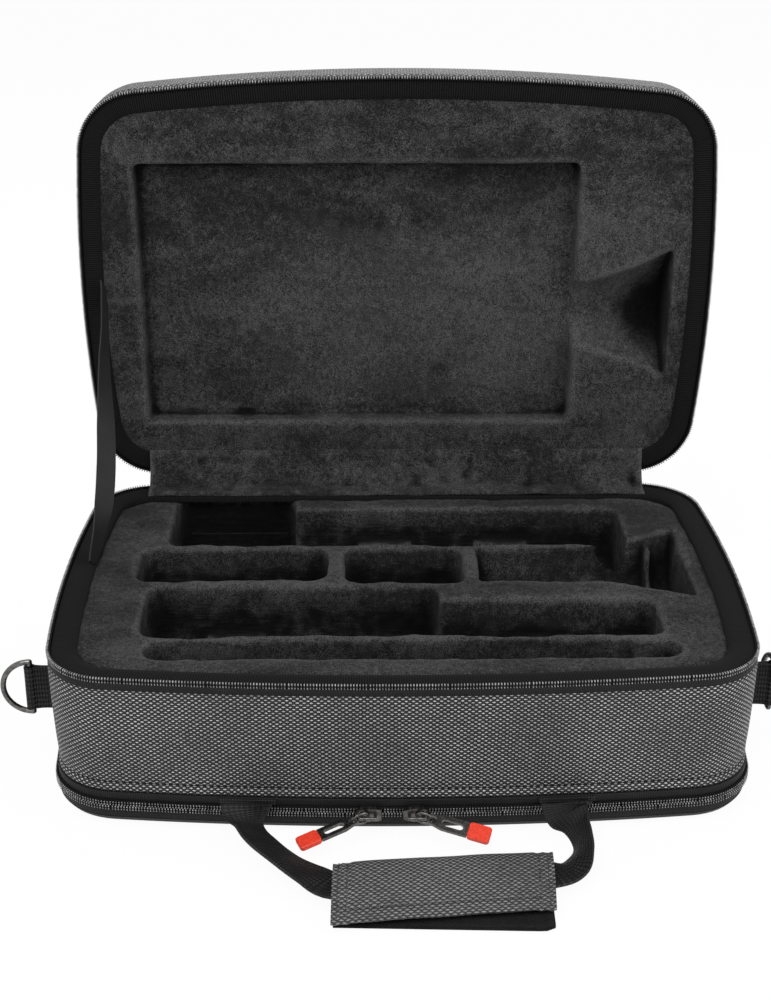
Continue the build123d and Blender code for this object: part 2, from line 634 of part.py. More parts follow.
def pull_frame():
    """Slotted metal pull in the XY plane, hung by its eye from a wire at the origin."""
    eye_x = PULL_EYE - LINK_WIRE / 2 - 2 * MEETING_GAP
    neck, half = PULL_NECK / 2, PULL_WIDTH / 2
    shoulder, full = eye_x + PULL_EYE / 2, eye_x + neck + PULL_EYE
    plan = make_face(Polyline(
        (eye_x - neck, -neck), (shoulder, -neck), (full, -half), (PULL_LENGTH, -half),
        (PULL_LENGTH, half), (full, half), (shoulder, neck), (eye_x - neck, neck), close=True))
    plan = fillet(plan.vertices().group_by(Axis.X)[0], neck - TIP_CHAMFER)
    slot_x = (eye_x + PULL_EYE + PULL_LENGTH) / 2
    slot = Pos(slot_x, 0) * SlotOverall(PULL_SLOT, PULL_WIDTH * 0.45)
    return extrude(plan - slot - Pos(eye_x, 0) * Circle(PULL_EYE), PULL_THICKNESS / 2, both=True)


def pull_tip():
    """Moulded tip at the end of the pull."""
    plan = RectangleRounded(TIP_LENGTH, PULL_WIDTH + 2 * TIP_WALL, TIP_CORNER)
    solid = extrude(plan, PULL_THICKNESS / 2 + TIP_WALL, both=True)
    layers = solid.edges().group_by(Axis.Z)
    solid = chamfer(layers[0] + layers[-1], TIP_CHAMFER)
    return Pos(PULL_LENGTH + FIT / 2 + TIP_LENGTH / 2, 0, 0) * solid


def pocket_slider(side):
    """Pocket zip slider, and the frames of its link and its pull."""
    x = POCKET_SLIDER_X[side]
    high = SLIDER_HALF_HEIGHT
    body = front_frame(x, POCKET_ZIP_HEIGHT) * slider(POCKET_COIL_PROUD, POCKET_TAPE_INSET, -high, high, high)
    out = POCKET_COIL_PROUD + MEETING_GAP + SLIDER_PLATE + BRIDGE_GAP / 2
    link = Pos(*chain_point(x, out), POCKET_ZIP_HEIGHT) * Rot(0, 0, LINK_HEADING[side])
    far = link * Pos(LINK_LENGTH - LINK_WIRE, 0, 0)
    turn = Rot(0, 0, PULL_HEADING[side]) * Rot(0, PULL_DROOP[side], 0) * Rot(PULL_ROLL[side], 0, 0)
    return body, link * Rot(90, 0, 0), Pos(*far.position) * turn


def main_slider(side):
    """Main zip slider parked at the hinge end, and the frames of its link and its pull."""
    parked = MAIN_ZIP_END + SLIDER_PARK
    x = parked if side else -parked
    low, high = -(MEETING_GAP / 2 + MAIN_COIL + SLIDER_LIP + 2 * FIT), -MEETING_GAP / 2
    body = rear_frame(x, ZIP_HEIGHT) * slider(COIL_PROUD, MAIN_TAPE_INSET, low, high, low)
    beam_out = COIL_PROUD + MEETING_GAP + SLIDER_PLATE + BRIDGE_GAP + BRIDGE / 2
    inner_side = beam_out - BRIDGE / 2 - BRIDGE_GAP / 2
    centre_out = inner_side + (LINK_WIDTH - LINK_WIRE) / 2
    rise = (LINK_WIDTH - LINK_WIRE) / 2 - MEETING_GAP / 2
    hang = Pos(x, HALF_WIDTH + centre_out, ZIP_HEIGHT + (low + high) / 2 + rise) * Rot(0, 90, 0)
    pull = hang * Pos(LINK_LENGTH - LINK_WIRE, 0, 0) * Rot(90, 0, 0)
    return body, hang, pull


# ================================================================ strap rings
def ring_place(side):
    """Middle of a strap ring's bar, beside the end wall."""
    reach = side_x(RING_Y) + RING_BAR_OUT
    return Pos(reach if side else -reach, RING_Y, RING_HEIGHT)


def strap_ring(side):
    """D-shaped ring of round wire."""
    wire = RING_WIRE / 2
    bar = Cylinder(wire, 2 * RING_RADIUS)
    bow = Rot(90, 0, 0) * Rot(0, 0, -90) * revolve(Plane.XZ * Pos(RING_RADIUS, 0) * Circle(wire), Axis.Z, 180)
    ends = Pos(0, 0, RING_RADIUS) * Sphere(wire) + Pos(0, 0, -RING_RADIUS) * Sphere(wire)
    return ring_place(side) * Rot(0, 0, RING_HEADING[side]) * (bow + bar + ends)


def ring_tab(side):
    """Webbing loop that holds a strap ring: two layers sewn to the wall."""
    bore = RING_WIRE / 2 + RING_GAP
    root = RING_BAR_OUT + WALL_LEAN
    plan = Pos(-root / 2, 0) * Rectangle(root, 2 * TAB_LAYER) + Circle(bore + TAB_LAYER) - Circle(bore)
    loop = ring_place(side) * Rot(0, 0, 0 if side else 180) * extrude(plan, TAB_WIDTH / 2, both=True)
    return loop - base_block(-FIT, SEAM_HEIGHT, BASE_FABRIC_TOP)


# ================================================================ handle
ANCHOR_TOP = SEAM_HEIGHT - FIT
ANCHOR_FACE = POCKET_TAPE_INSET - FIT / 2 - WEBBING
HANDLE_AXIS_Z = ANCHOR_TOP - WEBBING / 2
NEAR_EDGE_X = min(abs(x) for x in ANCHOR_X) - ANCHOR_WIDTH / 2
HANDLE_AXIS_Y = front_y(NEAR_EDGE_X) + ANCHOR_FACE - MEETING_GAP - WEBBING / 2
GRIP_FRAME = Pos(GRIP_CENTRE[0], GRIP_CENTRE[1], 0) * Rot(0, 0, GRIP_YAW)


def handle_anchor(side):
    """Webbing end sewn under the seam of the main fabric."""
    band = ring(ANCHOR_FACE, ANCHOR_FACE + WEBBING, ANCHOR_TOP - ANCHOR_HEIGHT, ANCHOR_TOP)
    stretch = Box(ANCHOR_WIDTH, 4 * FRONT_BOW, SEAM_HEIGHT)
    return band & Pos(ANCHOR_X[side], -HALF_WIDTH, SEAM_HEIGHT) * stretch


def core_end(side):
    """Where an arm meets the run of webbing inside the grip."""
    reach = GRIP_LENGTH / 2
    return GRIP_FRAME * Pos(reach if side else -reach, CORE_SETBACK, CORE_HEIGHT)


def handle_arm(side):
    """Webbing from its pivot at an anchor to the grip, turning as it goes."""
    pivot = Vector(ANCHOR_X[side], HANDLE_AXIS_Y, HANDLE_AXIS_Z)
    inward = -1 if side else 1
    end = core_end(side)
    route = ARM_ROUTES[side]
    points = [pivot, *(Vector(*point) for point, across in route), end.position]
    acrosses = [Vector(1, 0, 0), *(Vector(*across) for point, across in route), end.y_axis.direction * inward]
    middles = [after - before for before, after in zip(points, points[2:])]
    alongs = [Vector(0, -1, 0), *middles, end.x_axis.direction * inward]
    root_width = ANCHOR_WIDTH - 2 * ARM_MARGIN
    widths = [root_width] + [WEBBING_WIDTH] * len(route) + [CORE_WIDTH]
    sections = []
    for point, across, along, width in zip(points, acrosses, alongs, widths):
        along = along.normalized()
        square = across - along * along.dot(across)
        sections.append(Plane(origin=point, x_dir=square, z_dir=along) * Rectangle(width, WEBBING))
    roll = Pos(*pivot) * Rot(0, 90, 0) * Cylinder(WEBBING / 2, root_width)
    return loft(sections, ruled=True) + roll


def handle_webbing():
    """Both arms and the run inside the grip, one length of webbing."""
    core = GRIP_FRAME * Pos(0, CORE_SETBACK, CORE_HEIGHT) * Box(GRIP_LENGTH, CORE_WIDTH, WEBBING)
    return core + handle_arm(0) + handle_arm(1)


def grip_wrap():
    """Nylon wrap folded round the webbing from behind, its front edge free."""
    front = -GRIP_DEPTH / 2
    outer = GRIP_HEIGHT / 2
    inner = outer - WRAP
    turn_y = GRIP_DEPTH / 2 - outer
    top, ceiling = GRIP_HEIGHT, GRIP_HEIGHT - WRAP
    lip_top, lip_low = (front, GRIP_LIP + WRAP / 2), (front + WRAP_BEVEL, GRIP_LIP - WRAP / 2)
    edge_y = turn_y - WRAP_UNDER
    section = make_face([
        Line((edge_y, 0), (turn_y, 0)),
        ThreePointArc((turn_y, 0), (turn_y + outer, outer), (turn_y, top)),
        ThreePointArc((turn_y, top), (turn_y - WRAP_UNDER * 0.75, top - WRAP_SAG), lip_top),
        Line(lip_top, lip_low),
        ThreePointArc(lip_low, (turn_y - WRAP_UNDER * 0.72, ceiling - WRAP_SAG), (turn_y, ceiling)),
        ThreePointArc((turn_y, ceiling), (turn_y + inner, outer), (turn_y, WRAP)),
        Line((turn_y, WRAP), (edge_y, WRAP)),
        Line((edge_y, WRAP), (edge_y, 0)),
    ])
    return GRIP_FRAME * Pos(-GRIP_LENGTH / 2, 0, 0) * extrude(Plane.YZ * section, GRIP_LENGTH)


def hook_strip():
    """Hook-and-loop strip sewn to the wrap's lower layer, lying in front of it."""
    back = GRIP_DEPTH / 2 - GRIP_HEIGHT / 2 - WRAP_UNDER - FIT
    half = GRIP_LENGTH / 2 - 1
    left_front, right_front = HOOK_FRONT
    plan = make_face(Polyline(
        (-half, back), (-half, -left_front), (half, -right_front), (half, back), close=True))
    return GRIP_FRAME * extrude(plan, WRAP)


# ================================================================ assembly
def build():
    """Every node by name."""
    parts = {
        "base_shell": base_shell(),
        "base_fabric": base_fabric(),
        "base_insert": base_insert(),
        "base_rim_band": base_rim_band(),
        "base_zip_tape": base_zip_tape(),
        "base_zip_coil": base_zip_coil(),
        "pocket_board": pocket_board(),
        "pocket_upper_tape": pocket_upper_tape(),
        "pocket_upper_coil": pocket_chain(POCKET_ZIP_HEIGHT + MEETING_GAP / 2, POCKET_COIL_TOP),
        "pocket_panel": pocket_panel(),
        "pocket_lower_tape": pocket_lower_tape(),
        "pocket_lower_coil": pocket_chain(POCKET_COIL_BOTTOM, POCKET_ZIP_HEIGHT - MEETING_GAP / 2),
        "pocket_hinge_strip": pocket_hinge_strip(),
        "lid_shell": opened(lid_shell()),
        "lid_fabric": opened(lid_fabric()),
        "lid_liner": opened(lid_liner()),
        "lid_rim_band": opened(lid_rim_band()),
        "lid_zip_tape": opened(lid_zip_tape()),
        "lid_zip_coil": opened(lid_zip_coil()),
        "hinge_gusset": hinge_gusset(),
        "hinge_lining": hinge_lining(),
        "stay_ribbon": stay_ribbon(),
        "handle_webbing": handle_webbing(),
        "grip_wrap": grip_wrap(),
        "hook_strip": hook_strip(),
    }
    for side, name in enumerate(("left", "right")):
        for zip_name, place in (("pocket", pocket_slider), ("main", main_slider)):
            body, link, pull = place(side)
            parts[f"{zip_name}_slider_{name}"] = body
            parts[f"{zip_name}_link_{name}"] = link * loop_link()
            parts[f"{zip_name}_pull_{name}"] = pull * pull_frame()
            parts[f"{zip_name}_tip_{name}"] = pull * pull_tip()
        parts[f"strap_ring_{name}"] = strap_ring(side)
        parts[f"ring_tab_{name}"] = ring_tab(side)
        parts[f"handle_anchor_{name}"] = handle_anchor(side)
    return parts


if __name__ == "__main__":
    os.makedirs("parts", exist_ok=True)
    for node, part in build().items():
        solids = part.solids()
        export_step(solids[0] if len(solids) == 1 else Compound(solids), f"parts/{node}.step")
        print(node, len(solids), "solids", round(part.volume), "mm3")
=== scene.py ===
"""Dressed model of a zipped clarinet case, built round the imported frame.

Sizes are in millimetres in the dataclasses and in metres in the meshes.
+X runs along the case, +Y to the lid's hinge, +Z up; the lid stands open.
"""
from __future__ import annotations

import logging
import math
import sys
from dataclasses import dataclass, field
from enum import Enum
from typing import Callable

import bmesh
import bpy
import numpy as np
from mathutils import Matrix, Vector, noise

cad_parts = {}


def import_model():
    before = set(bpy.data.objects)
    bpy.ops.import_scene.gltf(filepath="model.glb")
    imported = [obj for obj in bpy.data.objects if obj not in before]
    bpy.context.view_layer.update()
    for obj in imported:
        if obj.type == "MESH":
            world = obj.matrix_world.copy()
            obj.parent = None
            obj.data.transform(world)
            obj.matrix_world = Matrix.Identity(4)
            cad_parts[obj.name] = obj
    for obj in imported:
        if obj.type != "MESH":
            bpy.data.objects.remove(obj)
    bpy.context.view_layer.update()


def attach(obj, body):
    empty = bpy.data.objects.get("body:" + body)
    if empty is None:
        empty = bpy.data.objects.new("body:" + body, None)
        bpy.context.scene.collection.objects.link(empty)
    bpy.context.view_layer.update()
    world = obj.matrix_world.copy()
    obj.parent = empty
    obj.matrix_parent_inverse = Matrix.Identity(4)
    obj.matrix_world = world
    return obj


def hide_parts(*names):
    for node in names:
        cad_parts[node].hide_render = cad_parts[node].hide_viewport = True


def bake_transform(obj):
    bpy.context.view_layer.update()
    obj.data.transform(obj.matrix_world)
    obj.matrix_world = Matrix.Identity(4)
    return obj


LOG = logging.getLogger("clarinet_case")
MM = 0.001
ZIP_HEIGHT = 87.0
HINGE_Y = 120.1
OPEN_ANGLE = 87.3
MAIN_ZIP_END = 133.0
SWEEP_STEP = 4.0
COPIES_A_BATCH = 80
# Painted shade in deep cavities: how much the plush's stored relief sinks at full depth, and that depth in
# millimetres.
SUNK_PAINTED_SHADE, SUNK_DEPTH = 0.24, 16.0


# ---- shader tools
class Value:
    """A node socket that adds Math nodes when it stands in an expression."""

    def __init__(self, bench: "NodeBench", socket: bpy.types.NodeSocket) -> None:
        """Wrap a socket.

        Args:
            bench: where the new nodes go.
            socket: the output that carries the number.
        """
        self.bench = bench
        self.socket = socket

    def math(self, operation: str, *others: "Value | float", first: float | None = None) -> "Value":
        """Add one Math node.

        Args:
            operation: Blender's name of the operation.
            others: the further operands.
            first: a number that stands before this value, for reflected forms.

        Returns:
            The node's result.
        """
        operands = [self, *others] if first is None else [first, self]
        node = self.bench.node("ShaderNodeMath", {"operation": operation}, dict(enumerate(operands)))
        return Value(self.bench, node.outputs[0])

    def __add__(self, other: "Value | float") -> "Value":
        """Sum."""
        return self.math("ADD", other)

    __radd__ = __add__

    def __sub__(self, other: "Value | float") -> "Value":
        """Difference."""
        return self.math("SUBTRACT", other)

    def __rsub__(self, other: float) -> "Value":
        """A number less this value."""
        return self.math("SUBTRACT", first=other)

    def __mul__(self, other: "Value | float") -> "Value":
        """Product."""
        return self.math("MULTIPLY", other)

    __rmul__ = __mul__

    def __truediv__(self, other: "Value | float") -> "Value":
        """Quotient."""
        return self.math("DIVIDE", other)

    def __pow__(self, other: "Value | float") -> "Value":
        """Power."""
        return self.math("POWER", other)

    def cell(self) -> "Value":
        """Place within a repeating cell of length 1, from -0.5 to 0.5."""
        return self.math("FRACT") - 0.5

    def most(self, other: "Value | float") -> "Value":
        """The larger of two."""
        return self.math("MAXIMUM", other)

    def least(self, other: "Value | float") -> "Value":
        """The smaller of two."""
        return self.math("MINIMUM", other)

    def wave(self) -> "Value":
        """Sine."""
        return self.math("SINE")


class NodeBench:
    """Adds nodes to one tree."""

    def __init__(self, tree: bpy.types.NodeTree) -> None:
        """Work on a tree."""
        self.tree = tree

    def node(self, kind: str, settings: dict | None = None, inputs: dict | None = None) -> bpy.types.Node:
        """Add a node.

        Args:
            kind: the node's type.
            settings: properties that are set first.
            inputs: numbers, colours or links by socket name or index.

        Returns:
            The new node.
        """
        made = self.tree.nodes.new(kind)
        for key, value in (settings or {}).items():
            setattr(made, key, value)
        for key, value in (inputs or {}).items():
            self.feed(made.inputs[key], value)
        return made

    def feed(self, socket: bpy.types.NodeSocket, value: object) -> None:
        """Set a socket, or link it.

        Args:
            socket: the input.
            value: a number, a colour, a Value or an output socket.
        """
        if isinstance(value, Value):
            self.tree.links.new(value.socket, socket)
        elif isinstance(value, bpy.types.NodeSocket):
            self.tree.links.new(value, socket)
        elif isinstance(value, tuple) and len(value) == 3 and socket.type == "RGBA":
            socket.default_value = (*value, 1.0)
        else:
            socket.default_value = value

    def shown(self) -> Value:
        """Find the rays that show the backdrop.

        Returns:
            1 straight from the camera or by a mirror, and 0 elsewhere.
        """
        path = self.node("ShaderNodeLightPath")
        camera, glossy = (Value(self, path.outputs[f"Is {ray} Ray"]) for ray in ("Camera", "Glossy"))
        return camera.most(glossy)


class MaterialBench(NodeBench):
    """Builds one material's nodes round a Principled shader."""

    def __init__(self, name: str) -> None:
        """Start an empty material.

        Args:
            name: the material's name.
        """
        self.material = bpy.data.materials.new(name)
        self.material.use_nodes = True
        super().__init__(self.material.node_tree)
        self.shader = self.tree.nodes["Principled BSDF"]

    def place(self) -> bpy.types.NodeSocket:
        """Object coordinates."""
        return self.node("ShaderNodeTexCoord").outputs["Object"]

    def cloth_axes(self) -> tuple[Value, Value]:
        """Read the piece's own cloth map.

        Returns:
            Metres along the cloth, and across it.
        """
        chart = self.node("ShaderNodeUVMap", {"uv_map": "cloth"})
        parts = self.node("ShaderNodeSeparateXYZ", None, {0: chart.outputs[0]})
        return Value(self, parts.outputs[0]), Value(self, parts.outputs[1])

    def noise(self, scale: float, detail: float = 2.0, rough: float = 0.5, stretch: tuple = (1, 1, 1),
              shift: tuple = (0, 0, 0), at: bpy.types.NodeSocket | None = None) -> Value:
        """Noise over the piece.

        Args:
            scale: cells per metre.
            detail: octaves.
            rough: how strongly the fine octaves show.
            stretch: scale along each axis.
            shift: moves the pattern.
            at: coordinates, Object if left out.

        Returns:
            A value near 0.5, mostly between 0.3 and 0.7.
        """
        mapped = self.node("ShaderNodeMapping", None,
                           {"Vector": at or self.place(), "Scale": stretch, "Location": shift})
        made = self.node("ShaderNodeTexNoise", None,
                         {"Vector": mapped.outputs[0], "Scale": scale, "Detail": detail, "Roughness": rough})
        return Value(self, made.outputs["Fac"])

    def spread(self, fac: Value, low: float, high: float, to_low: float = 0.0, to_high: float = 1.0) -> Value:
        """Map a range to another, clamped, with a soft start and end.

        Args:
            fac: the value.
            low: what becomes to_low.
            high: what becomes to_high.
            to_low: the result's start.
            to_high: the result's end.

        Returns:
            The mapped value.
        """
        made = self.node("ShaderNodeMapRange", {"interpolation_type": "SMOOTHSTEP"},
                         {0: fac, 1: low, 2: high, 3: to_low, 4: to_high})
        return Value(self, made.outputs[0])

    def blend(self, fac: Value | float, first: object, second: object) -> bpy.types.NodeSocket:
        """Mix two colours.

        Args:
            fac: share of the second.
            first: a colour or a link.
            second: a colour or a link.

        Returns:
            The mixed colour.
        """
        made = self.node("ShaderNodeMix", {"data_type": "RGBA"}, {"Factor": fac})
        self.feed(made.inputs[6], first)
        self.feed(made.inputs[7], second)
        return made.outputs[2]

    def bump(self, height: Value, distance: float, strength: float = 1.0,
             under: bpy.types.NodeSocket | None = None) -> bpy.types.NodeSocket:
        """Bump normal from a height.

        Args:
            height: from 0 to 1.
            distance: metres between 0 and 1.
            strength: share of the effect.
            under: a normal that this one adds to.

        Returns:
            The normal.
        """
        inputs = {"Height": height, "Distance": distance, "Strength": strength}
        if under is not None:
            inputs["Normal"] = under
        return self.node("ShaderNodeBump", None, inputs).outputs[0]

    def finish(self, **sockets: object) -> bpy.types.Material:
        """Feed the shader's sockets.

        Args:
            sockets: values by socket name, with _ for a space.

        Returns:
            The material.
        """
        for key, value in sockets.items():
            self.feed(self.shader.inputs[key.replace("_", " ")], value)
        return self.material


# ---- finishes
@dataclass(frozen=True)
class Finish:
    """A surface finish; each kind paints its own material once."""

    name: str

    def paint(self, bench: MaterialBench) -> bpy.types.Material:
        """Fill the material."""
        raise NotImplementedError

    def material(self) -> bpy.types.Material:
        """The finish's material, made at its first use."""
        name = "look_" + self.name
        return bpy.data.materials.get(name) or self.paint(MaterialBench(name))


@dataclass(frozen=True)
class BallisticNylon(Finish):
    """Coated nylon with staggered bright floats over dark threads; the floats' brightness is partly their colour
    and partly painted highlight.
    """

    float_pitch: float = 3.42
    row_pitch: float = 2.45
    turned: bool = False
    wide: float = 0.31
    tall: float = 0.20
    bright: tuple = (0.60, 0.60, 0.61)
    middle: tuple = (0.032, 0.032, 0.033)
    dark: tuple = (0.007, 0.007, 0.0075)

    def paint(self, bench: MaterialBench) -> bpy.types.Material:
        """Weave from the cloth map, with slow shade changes.

        Args:
            bench: the material's nodes.

        Returns:
            The material.
        """
        along, across = bench.cloth_axes()
        if self.turned:
            along, across = across, along
        ripple = (bench.noise(110.0, 2.0) - 0.5) * 0.22
        u, v = along / (self.float_pitch * MM) + ripple, across / (self.row_pitch * MM) + ripple * 0.6

        def dome(x: Value, y: Value, wide: float, tall: float) -> Value:
            """Round-topped patch at the middle of each cell."""
            return (1.0 - (x.cell() / wide) ** 2.0 - (y.cell() / tall) ** 2.0).most(0.0)

        weft = dome(u, v, self.wide, self.tall).most(dome(u + 0.5, v + 0.5, self.wide, self.tall))
        warp = dome(u + 0.5, v, 0.22, 0.44).most(dome(u, v + 0.5, 0.22, 0.44))
        shade = bench.spread(bench.noise(22.0, 3.0), 0.3, 0.7, 0.74, 1.08)
        threads = bench.spread(bench.noise(700.0, 1.0), 0.35, 0.65, 0.7, 1.2)
        ground = bench.blend(warp * 0.9, self.dark, self.middle)
        # Bright floats: the weave's pattern, with painted highlight in their brightness.
        colour = bench.blend(weft * shade * threads, ground, self.bright)
        height = weft.most(warp * 0.7)
        return bench.finish(Base_Color=colour, Roughness=0.5, Specular_IOR_Level=0.14,
                            Normal=bench.bump(height, 0.0004, 0.9))


@dataclass(frozen=True)
class Ribbed(Finish):
    """Webbing or tape with ribs across its length."""

    colour: tuple = (0.0045, 0.0045, 0.005)
    light: tuple = (0.034, 0.034, 0.035)
    rib_pitch: float = 1.5
    cord_pitch: float = 1.9
    depth: float = 0.25
    turned: bool = False

    def paint(self, bench: MaterialBench) -> bpy.types.Material:
        """Ribs from the cloth map: across at the rib pitch, broken up by the cord pitch.

        Args:
            bench: the material's nodes.

        Returns:
            The material.
        """
        along, across = bench.cloth_axes()
        if self.turned:
            along, across = across, along
        wander = (bench.noise(140.0, 2.0) - 0.5) * 1.6
        ribs = (along * (2 * math.pi / (self.rib_pitch * MM)) + wander).wave() * 0.5 + 0.5
        cords = (across * (2 * math.pi / (self.cord_pitch * MM))).wave() * 0.5 + 0.5
        height = ribs * 0.62 + cords * 0.38
        worn = bench.spread(bench.noise(90.0, 3.0), 0.35, 0.7, 0.3, 1.0)
        colour = bench.blend(bench.spread(height, 0.5, 0.98) * worn, self.colour, self.light)
        return bench.finish(Base_Color=colour, Roughness=0.6, Specular_IOR_Level=0.22,
                            Normal=bench.bump(height, self.depth * MM, 0.9))


@dataclass(frozen=True)
class Plush(Finish):
    """Crushed velour: near-black pile with paler strokes where it lies over, painted shade in its creases and
    hollows and painted light on its crests.
    """

    deep: tuple = (0.0018, 0.0018, 0.0020)
    pale: tuple = (0.088, 0.088, 0.089)
    sheen: float = 0.04

    def paint(self, bench: MaterialBench) -> bpy.types.Material:
        """Strokes, marks where the pile lies over, the pile's grain, and painted shade in creases and painted light
        on crests.

        Args:
            bench: the material's nodes.

        Returns:
            The material.
        """
        here = bench.place()
        grain = bench.spread(bench.noise(1500.0, 2.0, 0.8, at=here), 0.36, 0.64)
        tufts = bench.spread(bench.noise(330.0, 3.0, 0.7, (1.0, 1.0, 0.8), (0, 5, 2), here), 0.36, 0.66)
        broad = bench.noise(15.0, 4.0, 0.62, (1.0, 1.3, 1.3), at=here)
        strokes = bench.noise(60.0, 4.0, 0.65, (0.6, 1.0, 1.5), (3, 1, 0), here)
        relief = Value(bench, bench.node("ShaderNodeAttribute", {"attribute_name": "relief"}).outputs["Fac"])
        # Painted shade in creases and painted light on crests, read from the stored relief.
        painted_crease_shade, painted_crest_light = bench.spread(relief, 0.16, 0.475), bench.spread(relief, 0.54, 0.86)
        combed = bench.spread(bench.noise(520.0, 2.0, 0.6, (0.12, 1.0, 1.7), at=here), 0.40, 0.62, 0.35, 1.35)
        lie = broad * 0.66 + strokes * 0.34 + (grain - 0.5) * 0.11 + (tufts - 0.5) * 0.05
        lay = bench.spread(lie, 0.40, 0.62, 0.22, 0.66)
        comb = (combed - 1.0) * (1.0 - painted_crease_shade) * 0.9 + 1.0
        # Level of the colour: pile lie, painted crest light and painted crease shade, grain and tufts.
        shade = (lay + painted_crest_light * 0.45) * (painted_crease_shade * 0.93 + 0.07) * (grain * 1.05 + 0.38) * (tufts * 0.4 + 0.7) * comb
        colour = bench.blend(shade.least(1.0), self.deep, self.pale)
        fine = bench.bump(grain * 0.75 + tufts * 0.25, 0.0006, 0.6, bench.bump(broad, 0.004, 0.3))
        return bench.finish(Base_Color=colour, Roughness=0.95, Specular_IOR_Level=0.05, Sheen_Weight=self.sheen,
                            Sheen_Roughness=0.5, Normal=fine)


@dataclass(frozen=True)
class Knit(Finish):
    """Smooth black knit with faint cross ribs."""

    colour: tuple = (0.0022, 0.0022, 0.0024)
    light: tuple = (0.013, 0.013, 0.0135)
    rib_pitch: float = 1.3

    def paint(self, bench: MaterialBench) -> bpy.types.Material:
        """Fine ribs from the cloth map.

        Args:
            bench: the material's nodes.

        Returns:
            The material.
        """
        along, _ = bench.cloth_axes()
        ribs = (along * (2 * math.pi / (self.rib_pitch * MM))).wave() * 0.5 + 0.5
        fuzz = bench.noise(1500.0, 2.0, 0.7)
        colour = bench.blend(bench.spread(fuzz * 0.6 + ribs * 0.4, 0.3, 0.8), self.colour, self.light)
        return bench.finish(Base_Color=colour, Roughness=0.9, Specular_IOR_Level=0.08, Sheen_Weight=0.03,
                            Sheen_Roughness=0.4, Normal=bench.bump(ribs * 0.5 + fuzz * 0.5, 0.0002, 0.6))


@dataclass(frozen=True)
class CoilPlastic(Finish):
    """Monofilament coil with a satin shine."""

    colour: tuple = (0.10, 0.10, 0.102)
    bright: tuple = (0.32, 0.32, 0.32)

    def paint(self, bench: MaterialBench) -> bpy.types.Material:
        """Slight shade changes along the coil.

        Args:
            bench: the material's nodes.

        Returns:
            The material.
        """
        shade = bench.spread(bench.noise(260.0, 2.0), 0.3, 0.7)
        return bench.finish(Base_Color=bench.blend(shade, self.colour, self.bright),
                            Roughness=bench.spread(shade, 0.0, 1.0, 0.26, 0.38), Specular_IOR_Level=0.6)


@dataclass(frozen=True)
class Metal(Finish):
    """Black nickel plating with a soft mottle, a little brighter in patches."""

    colour: tuple = (0.085, 0.082, 0.080)
    bright: tuple = (0.16, 0.155, 0.15)
    rough: float = 0.30

    def paint(self, bench: MaterialBench) -> bpy.types.Material:
        """Fine polishing marks and a soft mottle.

        Args:
            bench: the material's nodes.

        Returns:
            The material.
        """
        mottle = bench.spread(bench.noise(420.0, 3.0), 0.35, 0.7)
        marks = bench.noise(2600.0, 1.0, 0.5, (1.0, 0.15, 1.0))
        return bench.finish(Base_Color=bench.blend(mottle, self.colour, self.bright), Metallic=1.0,
                            Roughness=bench.spread(marks, 0.3, 0.7, self.rough - 0.06, self.rough + 0.1),
                            Normal=bench.bump(marks, 0.00003, 0.3))


@dataclass(frozen=True)
class Moulded(Finish):
    """Moulded rubber or plastic."""

    colour: tuple = (0.72, 0.040, 0.014)
    rough: float = 0.45
    grain: float = 800.0

    def paint(self, bench: MaterialBench) -> bpy.types.Material:
        """Even colour with a faint moulding grain.

        Args:
            bench: the material's nodes.

        Returns:
            The material.
        """
        fine = bench.noise(self.grain, 2.0)
        pale = tuple(min(1.0, part * 1.18 + 0.01) for part in self.colour)
        colour = bench.blend(bench.spread(fine, 0.35, 0.65), self.colour, pale)
        return bench.finish(Base_Color=colour, Roughness=self.rough, Normal=bench.bump(fine, 0.00006, 0.4))


class Looks(Enum):
    """Every finish on the case."""

    NYLON = BallisticNylon("ballistic_nylon")
    NYLON_TURNED = BallisticNylon("ballistic_nylon_turned", turned=True, wide=0.42, tall=0.27,
                                  bright=(0.26, 0.26, 0.265))
    WEBBING = Ribbed("black_webbing", rib_pitch=1.5, cord_pitch=2.1, depth=0.3, turned=True)
    RIBBON = Ribbed("stay_ribbon", (0.013, 0.013, 0.014), (0.030, 0.030, 0.031), 0.7, 0.9, 0.06, True)
    TAB = Ribbed("tab_webbing", (0.004, 0.004, 0.0045), (0.040, 0.040, 0.041), 2.6, 1.5, 0.6)
    TAPE = Ribbed("zip_tape", (0.0045, 0.0045, 0.005), (0.020, 0.020, 0.021), 1.2, 1.0, 0.16)
    POCKET_CLOTH = Ribbed("pocket_cloth", (0.005, 0.005, 0.005), (0.020, 0.020, 0.021), 0.9, 0.9, 0.12)
    PLUSH = Plush("plush")
    KNIT = Knit("knit_band")
    COIL = CoilPlastic("zip_coil")
    # Darker copy of the coil finish for the legs: painted shade where they lie under the heads.
    COIL_LEGS = CoilPlastic("zip_coil_legs", (0.010, 0.010, 0.011), (0.030, 0.030, 0.031))
    GUNMETAL = Metal("gunmetal")
    RING = Metal("ring_metal", (0.10, 0.098, 0.095), (0.19, 0.185, 0.18), 0.22)
    RED = Moulded("red_rubber")
    FOAM = Moulded("foam_shell", (0.62, 0.62, 0.60), 0.8, 300.0)
    BOARD = Moulded("board", (0.03, 0.03, 0.03), 0.7, 300.0)
    THREAD = CoilPlastic("thread", (0.016, 0.016, 0.017), (0.045, 0.045, 0.046))
    HOOK = Plush("hook_tape", (0.003, 0.003, 0.003), (0.013, 0.013, 0.013))


